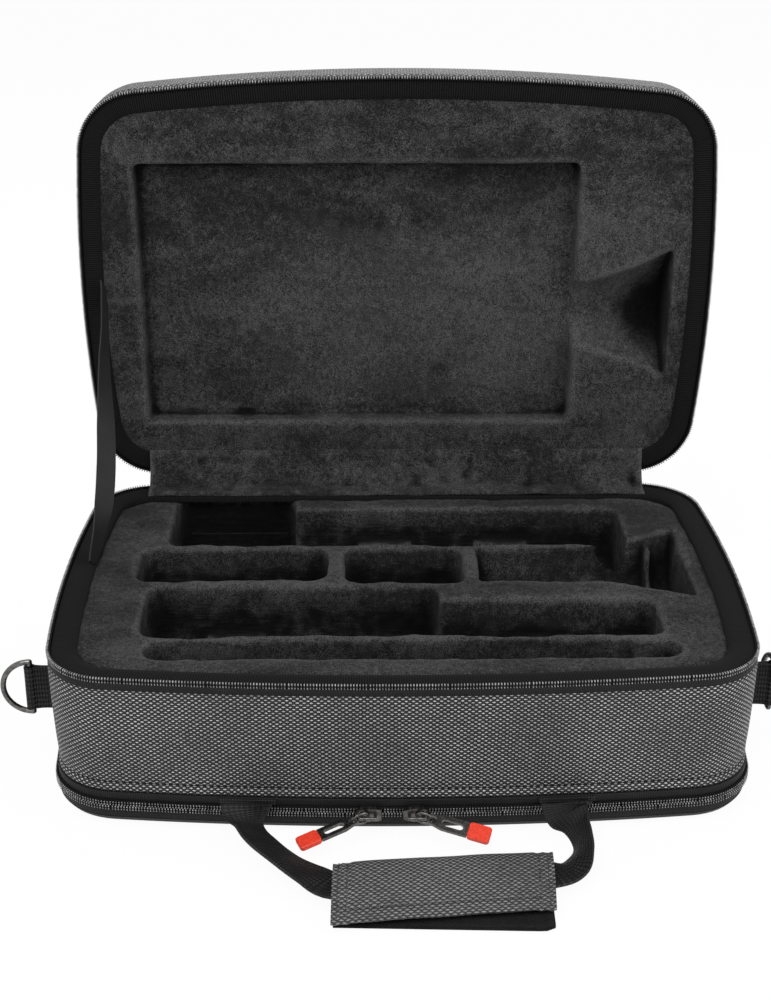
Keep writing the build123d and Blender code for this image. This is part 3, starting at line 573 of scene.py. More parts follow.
# ---- mesh tools
class Bench:
    """Shapes one mesh at a time with edit-mode tools."""

    @staticmethod
    def clear() -> None:
        """Leave edit mode and deselect everything."""
        if bpy.context.mode != "OBJECT":
            bpy.ops.object.mode_set(mode="OBJECT")
        for thing in bpy.context.selected_objects:
            thing.select_set(False)

    @staticmethod
    def take(piece: bpy.types.Object) -> None:
        """Make a piece the only selected and the active one.

        Args:
            piece: the piece.
        """
        Bench.clear()
        piece.select_set(True)
        bpy.context.view_layer.objects.active = piece

    @staticmethod
    def loft(name: str, rings: list[list[Vector]], closed: bool = True, ends: bool = False,
             length: list[float] | None = None) -> bpy.types.Object:
        """Skin rings of points by extruding the first ring from one to the next.

        Args:
            name: the piece's name.
            rings: rings with the same number of points, in metres.
            closed: whether each ring closes on itself.
            ends: whether the first and last ring are filled.
            length: metres along each ring for the cloth map, and the closing one last.

        Returns:
            The piece, with a "cloth" UV map: along the ring, and from ring to ring.
        """
        count = len(rings[0])
        Bench.clear()
        bpy.ops.mesh.primitive_circle_add(vertices=count, radius=0.1, fill_type="NOTHING")
        piece = bpy.context.active_object
        piece.name = piece.data.name = name
        piece.data.attributes.new("station", "INT", "POINT").data.foreach_set("value", range(count))
        piece.data.attributes.new("row", "INT", "POINT")
        bpy.ops.object.mode_set(mode="EDIT")
        if not closed:
            bpy.ops.mesh.select_mode(type="EDGE")
            bpy.ops.mesh.select_all(action="DESELECT")
            edit = bmesh.from_edit_mesh(piece.data)
            key = edit.verts.layers.int["station"]
            for edge in edit.edges:
                edge.select_set({vert[key] for vert in edge.verts} == {0, count - 1})
            bmesh.update_edit_mesh(piece.data)
            bpy.ops.mesh.delete(type="EDGE")
            bpy.ops.mesh.select_mode(type="VERT")
            bpy.ops.mesh.select_all(action="SELECT")
        if ends:
            bpy.ops.mesh.edge_face_add()
            bpy.ops.mesh.select_all(action="SELECT")
        for index, ring in enumerate(rings):
            if index:
                bpy.ops.mesh.extrude_region_move()
            edit = bmesh.from_edit_mesh(piece.data)
            key, level = edit.verts.layers.int["station"], edit.verts.layers.int["row"]
            for vert in edit.verts:
                if vert.select:
                    vert.co = ring[vert[key]]
                    vert[level] = index
            bmesh.update_edit_mesh(piece.data)
        bpy.ops.mesh.select_all(action="SELECT")
        bpy.ops.mesh.normals_make_consistent(inside=False)
        bpy.ops.object.mode_set(mode="OBJECT")
        Bench.clear()
        piece.location = (0, 0, 0)
        Bench.map_cloth(piece, rings, closed, length)
        return piece

    @staticmethod
    def map_flat(piece: bpy.types.Object) -> None:
        """Map the faces with many corners straight from above, in metres.

        Args:
            piece: a lofted piece.
        """
        mesh = piece.data
        chart = mesh.uv_layers["cloth"]
        for face in mesh.polygons:
            if len(face.vertices) > 4:
                for loop in face.loop_indices:
                    chart.data[loop].uv = mesh.vertices[mesh.loops[loop].vertex_index].co.xy

    @staticmethod
    def map_cloth(piece: bpy.types.Object, rings: list[list[Vector]], closed: bool,
                  length: list[float] | None) -> None:
        """Give a lofted piece its cloth map, in metres.

        Args:
            piece: the lofted piece.
            rings: the rings it was made from.
            closed: whether the rings close.
            length: metres along the ring; measured on the first ring if left out.
        """
        count = len(rings[0])
        if length is None:
            length = [0.0]
            middle = rings[len(rings) // 2]
            for index in range(count):
                length.append(length[-1] + (middle[(index + 1) % count] - middle[index]).length)
        height = [0.0]
        probe = count // 2
        for before, after in zip(rings, rings[1:]):
            height.append(height[-1] + (after[probe] - before[probe]).length)
        mesh = piece.data
        stations = [item.value for item in mesh.attributes["station"].data]
        rows = [item.value for item in mesh.attributes["row"].data]
        chart = mesh.uv_layers.new(name="cloth")
        for face in mesh.polygons:
            wraps = closed and {0, count - 1} <= {stations[vertex] for vertex in face.vertices}
            for loop in face.loop_indices:
                vertex = mesh.loops[loop].vertex_index
                station = stations[vertex]
                along = length[count] if wraps and station == 0 and len(face.vertices) < 5 else length[station]
                chart.data[loop].uv = (along, height[rows[vertex]])
        Bench.map_flat(piece)

    @staticmethod
    def fill_start(piece: bpy.types.Object) -> None:
        """Close a lofted piece over its first ring.

        Args:
            piece: the piece.
        """
        Bench.take(piece)
        bpy.ops.object.mode_set(mode="EDIT")
        bpy.ops.mesh.select_all(action="DESELECT")
        edit = bmesh.from_edit_mesh(piece.data)
        level = edit.verts.layers.int["row"]
        for edge in edit.edges:
            edge.select_set(all(vert[level] == 0 for vert in edge.verts))
        bmesh.update_edit_mesh(piece.data)
        bpy.ops.mesh.edge_face_add()
        bpy.ops.mesh.select_all(action="SELECT")
        bpy.ops.mesh.normals_make_consistent(inside=False)
        bpy.ops.object.mode_set(mode="OBJECT")
        Bench.map_flat(piece)

    @staticmethod
    def apply(piece: bpy.types.Object, kind: str, **settings: object) -> None:
        """Add a modifier and apply it.

        Args:
            piece: the piece.
            kind: the modifier's type.
            settings: its properties.
        """
        Bench.take(piece)
        modifier = piece.modifiers.new("step", kind)
        for key, value in settings.items():
            setattr(modifier, key, value)
        bpy.ops.object.modifier_apply(modifier=modifier.name)
        Bench.clear()

    @staticmethod
    def smooth(piece: bpy.types.Object, degrees: float = 35.0) -> None:
        """Shade smooth below an angle.

        Args:
            piece: the piece.
            degrees: edges sharper than this stay sharp.
        """
        Bench.take(piece)
        bpy.ops.object.shade_smooth_by_angle(angle=math.radians(degrees))
        Bench.clear()

    @staticmethod
    def scatter(name: str, unit: bpy.types.Object, places: list[Matrix]) -> bpy.types.Object:
        """Copy a small unit to many places as one piece, and remove the unit.

        Args:
            name: the piece's name.
            unit: what repeats, in place at the origin.
            places: where each copy goes.

        Returns:
            The joined piece.
        """
        Bench.clear()
        batches = []
        for start in range(0, len(places), COPIES_A_BATCH):
            copies = []
            for place in places[start:start + COPIES_A_BATCH]:
                copy = bpy.data.objects.new(name, unit.data.copy())
                copy.data.transform(place)
                bpy.context.scene.collection.objects.link(copy)
                copies.append(copy)
            batches.append(Bench.joined(name, copies))
        bpy.data.objects.remove(unit)
        return Bench.joined(name, batches)

    @staticmethod
    def tube(name: str, path: list[Vector], radius: float, sides: int = 6, ends: bool = True) -> bpy.types.Object:
        """Round bar along a short path.

        Args:
            name: the piece's name.
            path: its centre line.
            radius: in metres.
            sides: points round it.
            ends: whether its ends are filled.

        Returns:
            The piece.
        """
        rings = []
        for index, point in enumerate(path):
            along = (path[min(index + 1, len(path) - 1)] - path[max(index - 1, 0)]).normalized()
            side = along.orthogonal() if abs(along.x) > 0.9 else along.cross(Vector((1, 0, 0)))
            side.normalize()
            other = along.cross(side)
            shrink = 0.55 if ends and index in (0, len(path) - 1) else 1.0
            rings.append([point + (side * math.cos(turn) + other * math.sin(turn)) * radius * shrink
                          for turn in (2 * math.pi * step / sides for step in range(sides))])
        return Bench.loft(name, rings, ends=ends)

    @staticmethod
    def relief(piece: bpy.types.Object, passes: int = 8, depth: float = 1.6, top: float | None = None,
               marks: tuple = ()) -> None:
        """Store how far each point stands out of its surroundings: 0.5 flat, 0 in a crease, 1 on a crest; the plush
        finish paints shade in creases and light on crests from it.

        Args:
            piece: the piece.
            passes: how wide the surroundings are.
            depth: millimetres that fill the scale.
            top: height in millimetres below which the value sinks, for painted shade in deep cavities, if any.
            marks: places in millimetres, how far each reaches, and how much the value sinks there: where the pile
                lies over, and painted shade in dimples and hollows; a negative amount paints it lighter.
        """
        mesh = piece.data
        count = len(mesh.vertices)
        places, normals = np.empty(count * 3), np.empty(count * 3)
        pairs = np.empty(len(mesh.edges) * 2, dtype=np.int64)
        mesh.vertices.foreach_get("co", places)
        mesh.vertex_normals.foreach_get("vector", normals)
        mesh.edges.foreach_get("vertices", pairs)
        places, normals, pairs = places.reshape(-1, 3), normals.reshape(-1, 3), pairs.reshape(-1, 2)
        degree = np.maximum(np.bincount(pairs.ravel(), minlength=count), 1)[:, None]
        around = places.copy()
        for _ in range(passes):
            total = np.zeros_like(around)
            np.add.at(total, pairs[:, 0], around[pairs[:, 1]])
            np.add.at(total, pairs[:, 1], around[pairs[:, 0]])
            around = total / degree
        # Crease and crest measure, which the plush finish turns into painted shade and painted light.
        level = ((places - around) * normals).sum(axis=1) / (depth * MM) * 0.5 + 0.5
        # Painted shade: points below the top sink in value, so the plush is painted darker deeper in its cavities.
        if top is not None:
            level -= SUNK_PAINTED_SHADE * ((top * MM - places[:, 2]) / (SUNK_DEPTH * MM)).clip(0.0, 1.0)
        # Marks: pile that lies over, and painted shade in dimples and hollows; negative amounts paint lighter.
        for x, y, z, reach, pressed in marks:
            away = np.linalg.norm(places - np.array((x, y, z)) * MM, axis=1) / (reach * MM)
            level -= pressed * np.exp(-away ** 2)
        mesh.attributes.new("relief", "FLOAT", "POINT").data.foreach_set("value", level.clip(0.0, 1.0))

    @staticmethod
    def joined(name: str, pieces: list[bpy.types.Object]) -> bpy.types.Object:
        """Join pieces into one.

        Args:
            name: the whole's name.
            pieces: its parts.

        Returns:
            The whole.
        """
        Bench.clear()
        for piece in pieces:
            piece.select_set(True)
        bpy.context.view_layer.objects.active = pieces[0]
        bpy.ops.object.join()
        whole = bpy.context.active_object
        whole.name = whole.data.name = name
        Bench.clear()
        return whole


def wear(piece: bpy.types.Object, look: Looks) -> bpy.types.Object:
    """Give a piece one finish all over.

    Args:
        piece: the piece.
        look: the finish.

    Returns:
        The piece.
    """
    piece.data.materials.clear()
    piece.data.materials.append(look.value.material())
    return piece


def show(piece: bpy.types.Object, look: Looks | None, body: str | tuple, slot: str,
         *nodes: str) -> bpy.types.Object:
    """Dress a piece and say what it rides on and stands for.

    Args:
        piece: the finished piece.
        look: its finish, or None if its parts wear theirs already.
        body: the body it rides on, or two bodies and two places, in which case the piece rides on neither and only
            its transform is baked.
        slot: the record's material slot; not used.
        nodes: the CAD nodes it replaces.

    Returns:
        The piece.
    """
    if look:
        wear(piece, look)
    if isinstance(body, str):
        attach(piece, body)
    else:
        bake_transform(piece)
    if nodes:
        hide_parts(*nodes)
    LOG.info("%s: %d faces, on %s", piece.name, len(piece.data.polygons), body)
    return piece


# ---- plan outline
@dataclass(frozen=True)
class Station:
    """A place on the outline, as a ray from the centre of its arc."""

    x: float
    y: float
    radius: float
    angle: float
    run: float

    def at(self, inset: float, z: float) -> Vector:
        """Point at an inset and a height, in metres."""
        reach = self.radius - inset
        return Vector((self.x + reach * math.cos(self.angle), self.y + reach * math.sin(self.angle), z)) * MM

    def frame(self, inset: float, z: float) -> Matrix:
        """Frame at an inset and a height: X along the wall, Y outwards, Z up.

        Args:
            inset: millimetres in from the outline.
            z: the height, in millimetres.

        Returns:
            The frame, its place in metres.
        """
        out = Vector((math.cos(self.angle), math.sin(self.angle), 0))
        along = Vector((out.y, -out.x, 0))
        turn = Matrix((along, out, (0, 0, 1))).transposed().to_4x4()
        return Matrix.Translation(self.at(inset, z)) @ turn


@dataclass
class Plan:
    """Plan outline of the case: bowed walls with round corners."""

    half_length: float = 176.9
    half_width: float = 115.5
    front_bow: float = 11.4
    side_bow: float = 7.1
    corner: float = 36.0
    far: float = 1.0e5

    def __post_init__(self) -> None:
        """Work out the arcs' centres."""
        self.front_radius = (self.half_length ** 2 + self.front_bow ** 2) / (2 * self.front_bow)
        self.front_centre = -self.half_width - self.front_bow + self.front_radius
        self.side_radius = (self.half_width ** 2 + self.side_bow ** 2) / (2 * self.side_bow)
        self.side_centre = self.half_length + self.side_bow - self.side_radius
        reach, other = self.front_radius - self.corner, self.side_radius - self.corner
        apart = math.hypot(self.side_centre, self.front_centre)
        along = (reach ** 2 - other ** 2 + apart ** 2) / (2 * apart)
        off = math.sqrt(reach ** 2 - along ** 2)
        ux, uy = self.side_centre / apart, -self.front_centre / apart
        options = [(along * ux - sign * off * uy, self.front_centre + along * uy + sign * off * ux)
                   for sign in (1, -1)]
        self.front_corner = max(options)
        back_y = self.half_width - self.corner
        self.back_corner = (self.side_centre + math.sqrt(other ** 2 - back_y ** 2), back_y)

    def spans(self) -> list[tuple]:
        """Arcs from the middle of the back, clockwise: centre, radius, first and last angle.

        Returns:
            One row for each arc after the straight back.
        """
        quarter = math.pi / 2
        front, back = self.front_corner, self.back_corner
        bow = math.atan2(front[1] - self.front_centre, front[0])
        low = math.atan2(front[1], front[0] - self.side_centre)
        high = math.atan2(back[1], back[0] - self.side_centre)
        right = [(*back, self.corner, quarter, high), (self.side_centre, 0.0, self.side_radius, high, low),
                 (*front, self.corner, low, bow)]
        left = [(-x, y, radius, math.pi - second, math.pi - first)
                for x, y, radius, first, second in reversed(right)]
        return right + [(0.0, self.front_centre, self.front_radius, bow, -math.pi - bow)] + left

    def stations(self, step: float, gap: float = 0.0) -> list[Station]:
        """Places along the outline.

        Args:
            step: about how far apart.
            gap: half length of the stretch at the back that is left out.

        Returns:
            The stations, clockwise from the middle of the back.
        """
        found, run = [], 0.0
        straight = self.back_corner[0]

        def back_line(first: float, last: float) -> None:
            """Stations along the straight back, from first up to but not at last.

            Args:
                first: X of the first.
                last: X where the stretch ends.
            """
            nonlocal run
            count = max(1, round(abs(last - first) / step))
            for index in range(count):
                x = first + (last - first) * index / count
                found.append(Station(x, self.half_width - self.far, self.far, math.pi / 2,
                                     run + abs(x - first)))
            run += abs(last - first)

        back_line(0.0, straight)
        for x, y, radius, first, last in self.spans():
            sweep = (first - last) % (2 * math.pi)
            count = max(2, round(radius * sweep / step))
            for index in range(count):
                found.append(Station(x, y, radius, first - sweep * index / count,
                                     run + radius * sweep * index / count))
            run += radius * sweep
        back_line(-straight, 0.0)
        self.round = run
        return [place for place in found if not (abs(place.at(0, 0).x) < gap * MM and place.at(0, 0).y > 0)]

    @property
    def around(self) -> float:
        """Length of the outline, in metres."""
        places = [place.at(0, 0) for place in self.stations(SWEEP_STEP)]
        return sum((after - before).length for before, after in zip(places, places[1:] + places[:1]))

    def lengths(self, places: list[Station]) -> list[float]:
        """Metres along the outline at each place, and at the end."""
        return [place.run * MM for place in places] + [self.round * MM]

    def sweep(self, name: str, profile: list[tuple[float, float]], step: float = SWEEP_STEP, gap: float = 0.0,
              cap: bool = False) -> bpy.types.Object:
        """Skin a profile round the outline.

        Args:
            name: the piece's name.
            profile: insets and heights, from one edge to the other.
            step: about how far apart the stations are.
            gap: half length of the stretch at the back that is left out.
            cap: whether the first ring is filled.

        Returns:
            The piece.
        """
        places = self.stations(step, gap)
        rings = [[place.at(inset, z) for place in places] for inset, z in profile]
        piece = Bench.loft(name, rings, closed=gap == 0.0, length=self.lengths(places))
        if cap:
            Bench.fill_start(piece)
        Bench.smooth(piece)
        return piece

    def stretch(self, name: str, profile: list[tuple[float, float]], keep: Callable[[Station], bool],
                step: float = 3.0) -> bpy.types.Object:
        """Skin a closed section along the part of the outline that is kept.

        Args:
            name: the piece's name.
            profile: insets and heights of the section.
            keep: says whether a station belongs to the stretch.
            step: about how far apart the stations are.

        Returns:
            The piece.
        """
        places = self.stations(step)
        kept = [place for place in places if keep(place)]
        if keep(places[0]) and keep(places[-1]):
            cut = next(index for index, place in enumerate(kept) if place.at(0, 0).x < 0)
            kept = kept[cut:] + kept[:cut]
        rings = [[place.at(inset, z) for inset, z in profile] for place in kept]
        piece = Bench.loft(name, rings, ends=True)
        Bench.smooth(piece)
        return piece


PLAN = Plan()


def lid_turn() -> Matrix:
    """Turn from the closed lid to its open rest.

    Returns:
        The turn, about the hinge line.
    """
    pivot = Vector((0, HINGE_Y, ZIP_HEIGHT)) * MM
    turn = Matrix.Rotation(-math.radians(OPEN_ANGLE), 4, "X")
    return Matrix.Translation(pivot) @ turn @ Matrix.Translation(-pivot)


# ---- straps
def between(stops: list[Vector], where: float) -> Vector:
    """Smooth value through evenly numbered stops.

    Args:
        stops: the values at 0, 1, 2 and on.
        where: the place, from 0 to the last number.

    Returns:
        The Catmull-Rom value there.
    """
    index = min(int(where), len(stops) - 2)
    part = where - index
    before, first, second, after = (stops[min(max(index + step, 0), len(stops) - 1)] for step in (-1, 0, 1, 2))
    bend = 2.0 * before - 5.0 * first + 4.0 * second - after + (3.0 * (first - second) + after - before) * part
    return first + (second - before + bend * part) * (0.5 * part)


@dataclass
class Strap:
    """Flat strap along a smooth path; each stop is a place, the way across and the width, in millimetres."""

    name: str
    stops: list[tuple]
    thickness: float = 1.8
    steps: int = 7
    lanes: int = 4
    cup: float = 0.0
    ripple: float = 0.0
    probe: float = 0.1
    waves: tuple = ((1.0, 0.045), (0.5, 0.13))

    def section(self, half: float) -> list[tuple[float, float]]:
        """Offsets across and through the strap, round its section.

        Args:
            half: half of the width.

        Returns:
            The section's points.
        """
        thick = self.thickness / 2
        spans = [-half + 2 * half * lane / self.lanes for lane in range(self.lanes + 1)]
        spans[0] += thick * 0.6
        spans[-1] -= thick * 0.6
        return ([(-half, 0.0)] + [(span, thick) for span in spans] + [(half, 0.0)]
                + [(span, -thick) for span in reversed(spans)])

    def build(self) -> bpy.types.Object:
        """Sweep the section from the first stop to the last.

        Returns:
            The strap.
        """
        places = [Vector(place) for place, _, _ in self.stops]
        across = [Vector(way) for _, way, _ in self.stops]
        widths = [Vector((width, 0, 0)) for _, _, width in self.stops]
        last, rings = len(places) - 1, []
        for count in range(last * self.steps + 1):
            where = count / self.steps
            centre = between(places, where)
            ahead, behind = min(where + self.probe, last), max(where - self.probe, 0.0)
            along = (between(places, ahead) - between(places, behind)).normalized()
            side = between(across, where)
            side = (side - along * along.dot(side)).normalized()
            face, half, ring = along.cross(side), between(widths, where).x / 2, []
            for offset, lift in self.section(half):
                lift += self.cup * (1.0 - (offset / half) ** 2)
                spot = centre + side * offset
                lift += self.ripple * sum(share * noise.noise(spot * scale) for share, scale in self.waves)
                ring.append((spot + face * lift) * MM)
            rings.append(ring)
        piece = Bench.loft(self.name, rings, ends=True)
        Bench.smooth(piece)
        return piece


# ---- zip chains
@dataclass
class Chain:
    """One half of a zip chain: bent heads over two rows of slanting legs, sewn over a cord."""

    name: str
    head_z: float
    foot_z: float
    proud: float
    gap: float
    pitch: float = 1.52
    phase: float = 0.0
    reach: float = 1.0
    tooth_length: float = 3.2
    tooth_inset: float = 0.42
    cord_front: float = 0.78
    cord_back: float = 1.75

    @property
    def way(self) -> float:
        """1 where the heads are above the legs, -1 where they are below."""
        return 1.0 if self.head_z > self.foot_z else -1.0

    def tooth(self) -> bpy.types.Object:
        """One turn of the coil in the wall's frame: X along, Y out, Z up, its head at the origin.

        Returns:
            The tooth, in its finishes.
        """
        share = abs(self.head_z - self.foot_z) / self.tooth_length

        def bar(points: list[tuple], radius: float, look: Looks) -> bpy.types.Object:
            """Bent bar through points whose heights run from the head to the foot."""
            path = [Vector((x, y, -z * share * self.way)) * MM for x, y, z in points]
            return wear(Bench.tube("bar", path, radius * MM, 6), look)

        head = bar([(0, -self.reach, 0.40), (0, -0.25, 0.40), (0, 0.0, 0.62), (0, -0.1, 1.15)], 0.38, Looks.COIL)
        # The legs wear the coil's darker copy, painted shade under the heads.
        leg = bar([(-0.36, -0.4, 1.3), (0.0, -0.25, 1.8), (0.36, -0.4, 2.3)], 0.26, Looks.COIL_LEGS)
        foot = bar([(0.1, -0.35, 2.35), (0.0, -0.02, 2.6), (-0.1, -0.1, 3.0)], 0.37, Looks.COIL)
        return Bench.joined("tooth", [head, leg, foot])

    def build(self) -> bpy.types.Object:
        """Teeth and the cord they are sewn over, as one piece in the closed position.

        Returns:
            The chain.
        """
        places = PLAN.stations(0.5, self.gap)
        spots, run = [], places[0].run + self.pitch * (0.5 + self.phase)
        for before, after in zip(places, places[1:]):
            while before.run <= run < after.run and after.run - before.run < 2.0:
                spots.append(before.frame(self.tooth_inset - self.proud, self.head_z))
                run += self.pitch
        teeth = Bench.scatter(self.name + "_teeth", self.tooth(), spots)
        front, back = self.cord_front - self.proud, self.cord_back
        low, high, edge = self.foot_z, self.head_z - 0.8 * self.way, 0.3 * self.way
        profile = [(back, low), (front + 0.2, low), (front, low + edge), (front, high - edge), (front + 0.3, high),
                   (back, high)]
        cord = PLAN.sweep(self.name + "_cord", profile, gap=self.gap)
        piece = Bench.joined(self.name, [wear(cord, Looks.KNIT), teeth])
        Bench.smooth(piece, 60.0)
        return piece


# ---- plush over moulded forms
@dataclass
class PlushForm:
    """A moulded form with a soft plush cover over it."""

    name: str
    node: str
    cell: float
    passes: int
    swell: float = 0.9
    top: float | None = None
    marks: tuple = ()
    tufts: tuple = ((0.9, 28.0), (0.6, 75.0), (0.3, 190.0))

    def build(self) -> bpy.types.Object:
        """Copy the form, even out its faces, round its edges and ruffle it.

        Returns:
            The cover.
        """
        source = bpy.data.objects[self.node]
        piece = bpy.data.objects.new(self.name, source.data.copy())
        bpy.context.scene.collection.objects.link(piece)
        Bench.take(piece)
        bpy.ops.object.mode_set(mode="EDIT")
        bpy.ops.mesh.select_all(action="SELECT")
        bpy.ops.mesh.remove_doubles(threshold=1e-6)
        bpy.ops.object.mode_set(mode="OBJECT")
        Bench.apply(piece, "REMESH", mode="VOXEL", voxel_size=self.cell * MM, use_smooth_shade=True)
        Bench.apply(piece, "SMOOTH", factor=0.5, iterations=self.passes)
        normals = [vertex.normal.copy() for vertex in piece.data.vertices]
        for vertex, normal in zip(piece.data.vertices, normals):
            lift = sum(noise.noise(vertex.co * scale) * share for share, scale in self.tufts)
            vertex.co += normal * lift * self.swell * MM
        Bench.smooth(piece, 180.0)
        # Stores the relief that the plush finish paints as shade in creases and light on crests.
        Bench.relief(piece, top=self.top, marks=self.marks)
        return piece

    @staticmethod
    def roll_edge(piece: bpy.types.Object, start: float, width: float, drop: float, above: float = 60.0,
                  edge_shade: float = 0.36) -> None:
        """Round the form down towards its outline and paint shade there, in the crevice beside the band.

        Args:
            piece: the cover, with its relief stored.
            start: inset of the form's edge, in millimetres.
            width: how far in the rounding reaches.
            drop: how far the edge goes down.
            above: height from which points are moved.
            edge_shade: how much painted shade the edge takes, as a sink in the relief.
        """
        mesh = piece.data
        places, level = np.empty(len(mesh.vertices) * 3), np.empty(len(mesh.vertices))
        mesh.vertices.foreach_get("co", places)
        mesh.attributes["relief"].data.foreach_get("value", level)
        places = places.reshape(-1, 3) / MM
        x, y = places[:, 0], places[:, 1]
        front = y - PLAN.front_centre + np.sqrt(PLAN.front_radius ** 2 - x ** 2)
        side = PLAN.side_centre + np.sqrt(PLAN.side_radius ** 2 - y ** 2) - np.abs(x)
        ends = np.minimum(front, PLAN.half_width - y)
        inset = np.minimum(ends, side)
        corner = PLAN.corner - np.hypot(np.maximum(PLAN.corner - ends, 0.0),
                                        np.maximum(PLAN.corner - side, 0.0))
        share = ((start + width - np.minimum(inset, corner)) / width).clip(0.0, 1.0) ** 2
        places[:, 2] -= drop * share * (places[:, 2] > above)
        mesh.vertices.foreach_set("co", (places * MM).ravel())
        # Painted shade in the crevice where the form rolls down beside the band.
        mesh.attributes["relief"].data.foreach_set("value", (level - edge_shade * share).clip(0.0, 1.0))
        mesh.update()


# ---- base
@dataclass
class Base:
    """The base: woven skin, zip tape and chain, rim band and moulded plush insert."""

    seam: float = 20.0
    skin_top: float = 79.65
    lean: float = 2.4

    def inset(self, z: float) -> float:
        """Inset of the skin's outer face at a height."""
        return self.lean * (self.skin_top - z) / (self.skin_top - self.seam)

    def skin(self) -> None:
        """Nylon skin with a pressed hem row at its lower edge and a folded top."""
        hem = [(3.4, 21.2), (3.0, 20.15), (2.3, 20.0), (1.6, 20.7), (1.4, 22.0), (1.5, 23.4), (2.2, 24.3),
               (3.3, 24.75), (3.3, 25.15), (2.3, 25.6), (1.7, 26.8)]
        swells = ((30, 0.35), (38, 0.55), (48, 0.6), (58, 0.55), (68, 0.4), (75, 0.2))
        wall = [(self.inset(z) - swell, z) for z, swell in swells]
        top = [(0.0, 78.4), (0.1, 79.2), (0.5, 79.62), (1.1, 79.5)]
        piece = PLAN.sweep("base_skin", hem + wall + top, 3.0)
        show(piece, Looks.NYLON, "base", "ballistic_nylon", "base_fabric")
        PLAN.around

    def tape(self) -> None:
        """Zip tape between the skin and the chain."""
        profile = [(1.05, 79.3), (0.5, 79.75), (0.16, 80.1), (0.12, 81.5), (0.16, 83.0), (0.6, 83.6), (1.05, 83.6)]
        piece = PLAN.sweep("base_tape", profile, gap=MAIN_ZIP_END)
        show(piece, Looks.TAPE, "base", "zip_tape", "base_zip_tape")

    def chain(self) -> None:
        """Base's half of the main chain."""
        piece = Chain("base_chain", 86.85, 83.65, 0.5, MAIN_ZIP_END).build()
        show(piece, None, "base", "zip_coil", "base_zip_coil")

    def band(self) -> None:
        """Knit band, rolled over the rim and tucked in beside the plush."""
        profile = [(1.8, 83.1), (1.82, 84.3), (2.3, 84.85), (3.4, 85.0), (6.5, 84.85), (9.5, 84.7), (13.2, 84.3),
                   (14.5, 83.7), (15.1, 82.4), (15.2, 81.2)]
        piece = show(PLAN.sweep("base_band", profile), Looks.KNIT, "base", "knit_band", "base_rim_band")
        PLAN.around

    def insert(self) -> None:
        """Plush insert: the moulded form, softened and napped, with painted shade in its cavities and at its rolled
        edge.
        """
        # Marks: spots where the plush is painted lighter (negative) or darker (positive), over the painted cavity
        # shade.
        marks = ((85.5, -1.0, 68.0, 34.0, -0.26), (120.0, 5.0, 70.0, 22.0, -0.16),
                 (-40.0, -48.0, 52.0, 26.0, -0.16), (60.0, 40.0, 70.0, 22.0, -0.08), (-70.0, 20.0, 70.0, 12.0, 0.1))
        piece = PlushForm("base_plush", "base_insert", 1.6, 6, 1.25, 80.0, marks).build()
        PlushForm.roll_edge(piece, 13.2, 6.0, 2.2)
        show(piece, Looks.PLUSH, "base", "plush", "base_insert")

    def build(self) -> None:
        """Make every piece."""
        self.skin()
        self.tape()
        self.chain()
        self.band()
        self.insert()


# ---- pocket under the base
@dataclass
class Pocket:
    """Zipped pocket under the base: tape bands, chain, padded panel and hinge strip."""

    end: float = 160.0

    def upper(self) -> None:
        """Black band under the skin and the upper half of the chain."""
        band = [(3.6, 19.9), (1.6, 19.9), (0.95, 19.6), (0.82, 18.6), (0.85, 16.6), (1.0, 15.7), (3.4, 15.62)]
        show(PLAN.sweep("pocket_band", band), Looks.TAPE, "base", "zip_tape", "pocket_upper_tape")
        chain = Chain("pocket_chain_upper", 13.15, 15.55, 1.1, self.end).build()
        show(chain, None, "base", "zip_coil", "pocket_upper_coil")

    def lower(self) -> None:
        """The flap: its chain half, tape wall and padded panel."""
        chain = Chain("pocket_chain_lower", 12.85, 10.45, 1.1, self.end, phase=0.5).build()
        show(chain, None, "pocket_flap", "zip_coil", "pocket_lower_coil")
        wall = [(3.2, 5.5), (3.2, 10.3), (1.4, 10.35), (0.9, 10.1), (0.8, 9.0), (0.86, 7.0), (1.1, 5.5)]
        show(PLAN.sweep("pocket_wall", wall), Looks.TAPE, "pocket_flap", "zip_tape", "pocket_lower_tape")
        edge = [(8.8 - 8.0 * math.cos(turn), 8.0 - 8.0 * math.sin(turn))
                for turn in (math.radians(15.0 * step) for step in range(7))]
        outer = [(inset, z) for inset, z in edge if z < 5.6] + [(8.8, 0.0), (16.0, 0.0), (24.0, 0.0)]
        outer = sorted(set(outer), key=lambda pair: (-pair[0], pair[1]))
        inner = [(3.2, 5.4), (3.4, 4.6), (5.4, 3.0), (9.0, 2.4), (16.0, 2.4), (24.0, 2.4)]
        panel = PLAN.sweep("pocket_floor", outer + [(0.95, 5.4), (1.4, 5.42)], cap=True)
        lining = PLAN.sweep("pocket_lining", list(reversed(inner)), cap=True)
        piece = Bench.joined("pocket_base", [panel, lining])
        show(piece, Looks.POCKET_CLOTH, "pocket_flap", "ballistic_nylon", "pocket_panel")

    def hinge(self) -> None:
        """Fabric strip that hinges the flap along the back."""
        section = [(1.2, 15.2), (1.45, 15.42), (2.1, 15.42), (2.4, 15.2),
                   (2.4, 10.8), (2.1, 10.58), (1.45, 10.58), (1.2, 10.8)]
        reach = self.end * MM - 2.4 * MM
        piece = PLAN.stretch("pocket_hinge_cloth", section,
                             lambda place: place.at(0, 0).y > 0 and abs(place.at(0, 0).x) < reach)
        show(piece, Looks.WEBBING, ("base", "pocket_flap", (0, 0.1137, 0.0148), (0, 0.1137, 0.0112)), "zip_tape",
             "pocket_hinge_strip")

    def build(self) -> None:
        """Make every piece."""
        self.upper()
        self.lower()
        self.hinge()


